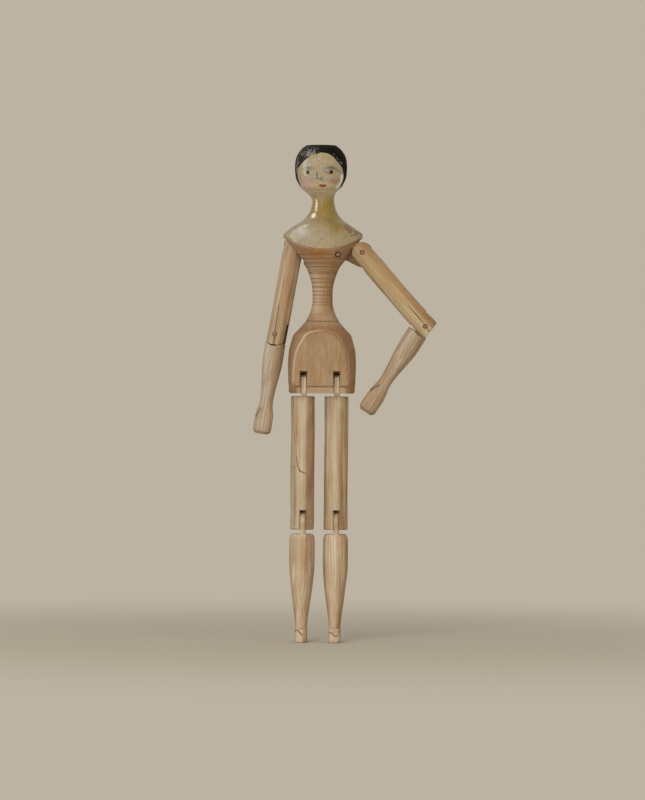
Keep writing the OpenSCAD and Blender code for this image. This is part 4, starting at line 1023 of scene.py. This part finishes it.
class DOLL_OT_forearms(Operator):
    """Whittles the two forearms, each in one piece with its hand and its elbow tongue"""
    bl_idname = "doll.forearms"
    bl_label = "Forearms and Hands"

    def execute(self, context):
        shape, colours = context.scene.doll_shape, context.scene.doll_colours
        for side, arm in ARMS.items():
            place, d, length, top = at_forearm(arm), arm.fore_d, arm.fore_len, arm.fore_top
            outline, hand = smooth(FOREARM), smooth(HAND)
            hand_len = length - WRIST_DROP
            taper = WRIST_D + (d - WRIST_D) * outline[:, 1]
            knots = np.concatenate([-top - (WRIST_DROP - top) * outline[:, 0], -WRIST_DROP - hand_len * hand[1:, 0],
                                    [-length]])[::-1]
            wide = np.concatenate([taper, WRIST_D + (HAND_W - WRIST_D) * hand[1:, 1], [HAND_W * 0.66]])[::-1]
            deep = np.concatenate([taper, WRIST_D + (HAND_T - WRIST_D) * hand[1:, 2], [HAND_T * 0.5]])[::-1]
            z = np.concatenate([np.linspace(-top, -WRIST_DROP, 80)[:-1], np.linspace(-WRIST_DROP, -length, 64)])
            flat = step(-z, WRIST_DROP + 1, WRIST_DROP + 0.55 * hand_len)
            rows = limb_rows(z, np.interp(z, knots, wide), np.interp(z, knots, deep), x=arm.aside,
                             power=2 + 0.8 * flat, facets=10, seed=30 + arm.seed, cut=shape.facet_depth)
            self.thumb(rows, arm)
            piece = skin(f"{side}_forearm_wood", rows, place)
            cutters = [rod("cove", CHEEK_R + TURN_GAP, -20, 20, place, sides=72)]
            if arm.fall:
                for flip in (np.eye(4), np.diag([1.0, -1.0, 1.0, 1.0])):
                    cutters.append(block("fall", (-d, d), (-d - 3, 0.0), (0, d), place @ flip @ moved(
                        0, -ELBOW_TONGUE / 2, -top) @ turned("X", arm.fall)))
            carve(piece, cutters)
            r, w, low = ELBOW_TONGUE_R, ELBOW_TONGUE_R * TONGUE_SHARE, -CHEEK_R - 2
            tongue = np.vstack([arc(0, 0, r, 0, 180, 30), [[-w, 0], [-w, low], [w, low], [w, 0]]])
            carve(piece, [prism("tongue", tongue, -ELBOW_TONGUE / 2, ELBOW_TONGUE / 2, place)], "UNION")
            material = limb_wood(f"{side}_forearm_grain", place, 80.0 + 9 * arm.seed, (-55.0, 20.0), shape,
                                 colours, (0.80, 0.90, 1.05))
            show(piece, 34, material, "arm_wood", f"{side}_forearm", **self.fields(piece, arm))
        return {"FINISHED"}

    def thumb(self, rows, arm):
        """A shallow groove in the palm side marks the thumb: the front goes in by a bell across a slanting line, and
        the edge beside it goes in a little below."""
        x, y, z = rows[..., 0] - arm.aside, rows[..., 1], rows[..., 2]
        flat = np.column_stack([x.ravel(), z.ravel()])
        deep = bump_at(near_line(flat, *arm.thumb).reshape(x.shape), 0, 0.55)
        across, low = arm.thumb[1]
        rows[..., 1] = np.where(y < 0, y + 0.42 * deep, y)
        rows[..., 0] -= 0.25 * np.sign(x) * bump_at(z, low - 0.8, 0.9) * (np.sign(x) == np.sign(across))

    def fields(self, piece, arm):
        """Painted shade darkens the tongue and the line of the thumb, and the tips of the fingers are darker."""
        p = coordinates(piece)
        q = into(p, at_forearm(arm))
        line = bump_at(near_line(q[:, [0, 2]] - [arm.aside, 0], *arm.thumb), 0, 0.5) * (q[:, 1] < 0)
        grime_and_shade = most(0.55 * (within(q[:, 1], ELBOW_TONGUE) & (q[:, 2] > -CHEEK_R - 0.2)), 0.75 * line,
                     0.18 * step(-q[:, 2], arm.fore_len - 7, arm.fore_len))
        return dict(grime_and_shade=grime_and_shade, side=arm.browned[1] * browned(q, arm.aside, sign=arm.sign),
                    crack=np.full(len(p), NO_CRACK))


class DOLL_OT_thighs(Operator):
    """Whittles the two thighs, with a tongue at the hip and a slot at the knee"""
    bl_idname = "doll.thighs"
    bl_label = "Thighs"

    def execute(self, context):
        shape, colours = context.scene.doll_shape, context.scene.doll_colours
        top, bottom, rim = THIGH_TOP, -THIGH_LEN - CHEEK_DROP, THIGH_RIM
        for side, leg in LEGS.items():
            place, knee = at_hip(leg), at_knee(leg)
            z = np.concatenate([[top, top - 0.2, top - rim], np.linspace(-9.4, bottom + rim, 160),
                                [bottom + 0.3, bottom]])
            inside = np.minimum(np.minimum(top - z, z - bottom) / rim, 1)
            width = THIGH_D - 2 * rim * (1 - np.sqrt(1 - (1 - inside) ** 2))
            rows = limb_rows(z, width, width, facets=shape.leg_facets, seed=40 + leg.seed, cut=shape.facet_depth,
                             columns=108, turn=0.25)
            self.scoops(rows, leg)
            rows += (-leg.sign * LEG_ASIDE, THIGH_BACK, 0)
            piece = skin(f"{side}_thigh_wood", rows, place)
            end = np.vstack([[[-30, -CHEEK_DROP], [KNEE_HEEL, -CHEEK_DROP]], arc(0, 0, KNEE_ROUND, -48, 0, 20)[1:],
                             [[30, 0.0], [30, 120], [-30, 120]]])
            carve(piece, [prism("end", end, -30, 30, knee, "X")], "INTERSECT")
            deep = THIGH_D * math.cos(math.radians(11.25)) * TONGUE_SHARE / 2
            back = [[THIGH_BACK + deep, up] for up in HIP_TONGUE_ROWS] + [[THIGH_BACK - 0.5 + deep, HIP_TONGUE_TOP]]
            tongue = np.vstack([back, [2 * THIGH_BACK, 0] + np.array(back[::-1]) * [-1, 1]])
            add_tongue(piece, tongue, leg.hip, place)
            carve(piece, [slot_cutter("slot", np.array(KNEE_KERF), leg.knee, *KNEE_WALLS, knee),
                          hole(LEG_PEG_R, knee, "X")])
            material = limb_wood(f"{side}_thigh_grain", place, 100.0 + 9 * leg.seed, (-60.0, 12.0), shape, colours,
                                 (0.79, 0.85, 0.89))
            show(piece, 34, material, "leg_wood", f"{side}_thigh", **self.fields(piece, leg))
        return {"FINISHED"}

    def scoops(self, rows, leg):
        """Long flat knife strokes: along its facing, what stands out past a stroke's depth is cut away."""
        for facing, limit, start, end, run in leg.strokes:
            a = math.radians(facing if leg.sign > 0 else 180 - facing)
            way = np.array([math.cos(a), math.sin(a)])
            z = rows[..., 2]
            cut = np.maximum(rows[..., :2] @ way - limit, 0) * step(-z, -start, -start + run) * step(z, end, end + 3)
            rows[..., :2] -= cut[..., None] * way

    def fields(self, piece, leg):
        """Painted shade darkens the top of the tongue, the slot and the thigh's top edge, a dark ring goes round the
        peg, and crack is the distance from the carved curve.
        """
        p = coordinates(piece)
        q, k = into(p, at_hip(leg)), into(p, at_knee(leg))
        front, up = p[:, 1] < 0, q[:, 2]
        tongue = on_tongue(q, leg.hip) & (up > -8.9)
        grime_and_shade = most(0.6 * tongue * step(up, 2.6, 4.0), 0.1 * (within(k[:, 0], LEG_SLOT) & (k[:, 2] < 6.7)),
                     0.35 * bump_at(up, THIGH_TOP, 0.9), 0.6 * rim_at(k[:, 1], k[:, 2], LEG_PEG_R + 0.15, 0.4))
        # A painted highlight: a pale stripe down the lit front of the thigh.
        strip = 0.2 * bump_at(p[:, 0], *leg.strip) * step(-up, 8.0, 14.0) * front
        # Painted light on the tongue's face, which lies in the shade of the slot.
        pale = 0.55 * step(up, -7.2, -5.5) * step(-up, -3.2, -2.4)
        crack = np.full(len(p), NO_CRACK)
        if leg.carved:
            carved = 0.8 * near_line(p[:, [0, 2]], *leg.carved) + 0.2 * step(p[:, 2], -100, -92)
            crack = np.where(front, carved, NO_CRACK)
        return dict(grime_and_shade=grime_and_shade, painted_light=np.where(tongue, pale, strip), crack=crack,
                    side=browned(q, -leg.sign * LEG_ASIDE, THIGH_BACK, leg.sign))


class DOLL_OT_lower_legs(Operator):
    """Whittles the two lower legs, each in one piece with its foot and its knee tongue"""
    bl_idname = "doll.lower_legs"
    bl_label = "Lower Legs and Feet"

    def execute(self, context):
        shape, colours = context.scene.doll_shape, context.scene.doll_colours
        calf, foot = smooth(CALF), smooth([[0, 0, 0.93]] + FOOT)[1:]
        ankle_z = FOOT_H - SHIN_LEN
        calf_w = ANKLE_D + (CALF_D - ANKLE_D) * calf[:, 1]
        blend = step(foot[:, 0], 0, 0.1)
        front = ANKLE_D / 2 + (FOOT_LEN - HEEL_BACK - ANKLE_D / 2) * foot[:, 1]
        back = ANKLE_D / 2 + (HEEL_BACK - ANKLE_D / 2) * blend
        knots = np.concatenate([-CALF_TOP + (ankle_z + CALF_TOP) * calf[:, 0], ankle_z - FOOT_H * foot[:, 0]])[::-1]
        wide = np.concatenate([calf_w, ANKLE_D + (FOOT_W * foot[:, 2] - ANKLE_D) * blend])[::-1]
        deep = np.concatenate([calf_w, front + back])[::-1]
        middle = np.concatenate([(calf_w - ANKLE_D) * 0.12, (back - front) / 2])[::-1]
        z = np.concatenate([np.linspace(-CALF_TOP, ankle_z, 120)[:-1], np.linspace(ankle_z, 0.35 - SHIN_LEN, 34),
                            [0.12 - SHIN_LEN, -SHIN_LEN]])
        rim = 0.3 * step(-z, SHIN_LEN - 0.35, SHIN_LEN)
        for side, leg in LEGS.items():
            place = at_knee(leg)
            rows = limb_rows(z, np.interp(z, knots, wide) - 2 * rim, np.interp(z, knots, deep) - 2 * rim,
                             y=np.interp(z, knots, middle), power=2 + step(-z, -ankle_z, -ankle_z + 2.5),
                             facets=shape.leg_facets, seed=50 + leg.seed, cut=shape.facet_depth * 0.9, columns=108)
            rows += (-leg.sign * LEG_ASIDE, -SHIN_FORE, 0)
            piece = skin(f"{side}_lower_leg_wood", rows, place)
            w = KNEE_TONGUE_R * math.cos(math.radians(KNEE_TONGUE_DIP))
            tongue = np.vstack([arc(0, 0, KNEE_TONGUE_R, -KNEE_TONGUE_DIP, 180 + KNEE_TONGUE_DIP, 70),
                                [[-w, -CALF_TOP - 2], [w, -CALF_TOP - 2]]])
            add_tongue(piece, tongue, leg.knee, place)
            material = limb_wood(f"{side}_lower_leg_grain", place, 120.0 + 9 * leg.seed, (-60.0, 18.0), shape,
                                 colours, (0.93, 1.02, 1.11))
            show(piece, 34, material, "leg_wood", f"{side}_lower_leg", **self.fields(piece, leg))
        return {"FINISHED"}

    def fields(self, piece, leg):
        """Painted shade darkens the top of the tongue, the sole's edge is darker, and crack is the distance from the
        instep's carved line.
        """
        p = coordinates(piece)
        k = into(p, at_knee(leg))
        tongue = on_tongue(k, leg.knee) & (k[:, 2] > -CALF_TOP + 0.1)
        # A painted highlight: a pale stripe down the lit middle of the calf.
        middle = np.interp(k[:, 2], [-70, -10], leg.calf_strip)
        instep = near_line(p[:, [0, 2]], *leg.instep)
        return dict(
            grime_and_shade=most(0.65 * tongue * step(k[:, 2], 3.8, 4.8), 0.3 * step(-k[:, 2], SHIN_LEN - 1.2, SHIN_LEN)),
            painted_light=0.2 * bump_at(p[:, 0], middle, 1.9) * (p[:, 1] < -1), crack=np.where(p[:, 1] < -3, instep, NO_CRACK),
            side=leg.browned * browned(k, -leg.sign * LEG_ASIDE, -SHIN_FORE, leg.sign))


def add_tongue(piece, outline, slot, place):
    """Joins a leg's flat tongue to it, to one side as its slot says."""
    low, high = slot.tongue - LEG_TONGUE / 2, slot.tongue + LEG_TONGUE / 2
    carve(piece, [prism("tongue", outline, low, high, place, "X")], "UNION")


def on_tongue(q, slot):
    """Which points, in their joint's frame, lie between the two flat faces of the tongue."""
    return np.abs(q[:, 0] - slot.tongue) < LEG_TONGUE / 2 + 0.03


class DOLL_OT_pegs(Operator):
    """Whittles the ten pegs and drives them into their holes"""
    bl_idname = "doll.pegs"
    bl_label = "Pegs"

    def execute(self, context):
        colours, seed = context.scene.doll_colours, 70
        # How far the chest reaches in front of its middle plane beside a chest peg, and half the thigh's width there
        face = math.sqrt(np.interp(CHEST_PEG[1], OUTLINE_Z, OUTLINE_R) ** 2 - CHEST_PEG[0] ** 2) - 0.02
        half = math.sqrt((THIGH_D / 2) ** 2 - (KNEE_BACK - THIGH_BACK) ** 2) - 0.05
        near, far, lay, lie = [0, 0.03, 0.08, 0.16, 0.3], [0.45, 0.7, 0.86, 0.95, 1.0], turned("X", 90), turned("Y", 90)
        for side, arm in ARMS.items():
            sign, r = LEGS[side].sign, arm.arm_d / 2
            hip_y, hip_z = HIP_PEG[1:]
            made = [
                ("chest", moved(sign * CHEST_PEG[0], 0, CHEST_PEG[1]) @ lay, CHEST_PEG_R, (-CHEST_PEG_IN, face)),
                ("shoulder", at_shoulder(arm) @ lay, ARM_PEG_R, (-r, r)),
                ("elbow", at_elbow(arm) @ lay, ARM_PEG_R, (-r, r)),
                ("hip", moved(0, hip_y, hip_z) @ lie, LEG_PEG_R, HIP_PEG_ENDS),
                ("knee", moved(sign * HIP_PEG[0] - LEG_ASIDE, hip_y + KNEE_BACK, hip_z - THIGH_LEN) @ lie, LEG_PEG_R,
                 (-half, half))]
            for joint, place, radius, ends in made:
                seed += 1
                name = f"{side}_{joint}_peg"
                low, high = ends if side == "left" else (-ends[1], -ends[0])
                s = np.concatenate([near, np.linspace(0.5, high - low - 0.5, 14), high - low - np.array(near[::-1])])
                width = 2 * radius * np.interp(np.minimum(s, high - low - s), near, far)
                rows = limb_rows(high - s, width, width, facets=9, seed=seed, cut=0.08, columns=40)
                peg = skin(f"{name}_wood", rows, place)
                q = into(coordinates(peg), place)
                material = dark_material(f"{name}_grain", place, float(seed), colours, pale=0.25)
                show(peg, 40, material, "peg_wood", name, rim=step(np.hypot(q[:, 0], q[:, 1]) / radius, 0.7, 0.95))
        return {"FINISHED"}


class DOLL_OT_stage(Operator):
    """Sets the plain floor, the soft studio light and the camera"""
    bl_idname = "doll.stage"
    bl_label = "Stage"

    def execute(self, context):
        colours = context.scene.doll_colours
        self.floor(colours)
        self.world(colours)
        for name, place, size, power, tone, gloss in (
                ("key", (-0.6, -2.0, 0.6), (1.1, 1.1), 29.0, (1.0, 0.985, 0.96), False),
                ("glint", (-1.95, -0.55, 0.42), (0.7, 2.1), 40.0, (1.0, 0.96, 0.95), True),
                ("high_glint", (-1.3, 0.45, 1.85), (0.8, 0.7), 14.0, (1.0, 0.96, 0.95), True),
                ("fill", (1.5, -1.6, -0.1), (1.6, 1.6), 8.0, (1.0, 0.96, 0.9), False),
                ("back", (0.4, 2.0, 0.9), (1.6, 1.6), 2.5, (1.0, 0.97, 0.93), False)):
            light = bpy.data.lights.new(name, "AREA")
            light.shape, light.size, light.size_y = "RECTANGLE", *size
            light.energy, light.color = power, tone
            lamp = bpy.data.objects.new(name, light)
            lamp.visible_glossy, lamp.visible_diffuse = gloss, not gloss
            context.scene.collection.objects.link(lamp)
            way = Vector((0, 0, -0.05)) - Vector(place)
            lamp.matrix_world = Matrix.Translation(place) @ way.to_track_quat("-Z", "Y").to_matrix().to_4x4()
        self.camera(context)
        return {"FINISHED"}

    def floor(self, colours):
        """A round floor at the soles, r from 0 to 0.9 m and t round it, that fades out into the backdrop."""
        r, t = np.meshgrid(np.linspace(0.01, 0.9, 24), np.arange(64) * 2 * math.pi / 64, indexing="ij")
        rows = np.stack([r * np.cos(t), r * np.sin(t), 0 * r + SOLE_Z], -1) / MM
        n, m = r.shape
        floor = put_mesh("floor", rows.reshape(-1, 3), ring_quads(n, m).tolist() + [list(range(m))])
        material, tree = new_material("floor_paper")
        flat = tree.put("VectorMath", {0: tree.put("TexCoord", output="Object"), 1: (1.0, 1.0, 0.0)},
                        operation="MULTIPLY")
        far = tree.put("VectorMath", {0: flat}, "Value", operation="LENGTH")
        paper = tree.put("BsdfDiffuse", {"Color": [1.1 * c for c in colours.paper]})
        mixed = tree.put("MixShader", {0: far.ease(0.1, 0.6), 1: paper, 2: tree.put("BsdfTransparent")})
        tree.node("OutputMaterial", {"Surface": mixed})
        floor.data.materials.append(material)

    def world(self, colours):
        """Soft light, and the paper's colour where the camera or a reflection sees the backdrop."""
        world = bpy.data.worlds.new("studio")
        bpy.context.scene.world = world
        world.use_nodes = True
        tree = Tree(world.node_tree)
        camera, glossy, through = (tree.put("LightPath", output=f"Is {ray} Ray")
                                   for ray in ("Camera", "Glossy", "Transmission"))
        soft = tree.put("Background", {"Color": (1.0, 0.97, 0.93), "Strength": 0.5})
        paper = tree.put("Background", {"Color": colours.paper, "Strength": 1.0})
        mixed = tree.put("MixShader", {0: (camera + glossy + through).held(), 1: soft, 2: paper})
        tree.node("OutputWorld", {"Surface": mixed})

    def camera(self, context):
        """The camera looks along +Y, 2 degrees round to the right, turned 0.5 degrees about its line. The lens is the
        sensor's height times the distance over the height of what it sees."""
        round_, roll = math.radians(2.0), math.radians(0.5)
        right = Vector((math.cos(round_), math.sin(round_), 0))
        ahead = Vector((-math.sin(round_), math.cos(round_), 0))
        up = right.cross(ahead)
        across = math.cos(roll) * right + math.sin(roll) * up
        over = -math.sin(roll) * right + math.cos(roll) * up
        lens = bpy.data.cameras.new("camera")
        lens.sensor_fit, lens.sensor_height, lens.lens = "VERTICAL", 36, 36 * VIEW_AWAY / (VIEW_H * MM)
        lens.clip_start, lens.clip_end = 0.1, 20
        camera = bpy.data.objects.new("camera", lens)
        context.scene.collection.objects.link(camera)
        axes = Matrix((across, over, -ahead)).transposed().to_4x4()
        camera.matrix_world = Matrix.Translation(Vector(VIEW_MIDDLE) - VIEW_AWAY * ahead) @ axes
        context.scene.camera = camera
        context.scene.view_settings.view_transform = "Standard"


class DOLL_PT_panel(Panel):
    """Lists the doll's sizes, colours and pieces"""
    bl_label = "Peg Wooden Doll"
    bl_idname = "DOLL_PT_panel"
    bl_space_type = "VIEW_3D"
    bl_region_type = "UI"
    bl_category = "Doll"

    def draw(self, context):
        for group in (context.scene.doll_shape, context.scene.doll_colours):
            box = self.layout.box()
            for name in group.__annotations__:
                box.prop(group, name)
        for operator in OPERATORS:
            self.layout.operator(operator.bl_idname)


OPERATORS = (DOLL_OT_turned_body, DOLL_OT_shoulder_links, DOLL_OT_upper_arms, DOLL_OT_forearms, DOLL_OT_thighs,
             DOLL_OT_lower_legs, DOLL_OT_pegs, DOLL_OT_stage)
CLASSES = (DollShape, DollColours) + OPERATORS + (DOLL_PT_panel,)


def register():
    for cls in CLASSES:
        bpy.utils.register_class(cls)
    bpy.types.Scene.doll_shape = PointerProperty(type=DollShape)
    bpy.types.Scene.doll_colours = PointerProperty(type=DollColours)


def unregister():
    del bpy.types.Scene.doll_colours
    del bpy.types.Scene.doll_shape
    for cls in reversed(CLASSES):
        bpy.utils.unregister_class(cls)


def main():
    register()
    for operator in OPERATORS:
        group, name = operator.bl_idname.split(".")
        getattr(getattr(bpy.ops, group), name)()


if __name__ == "__main__":
    main()
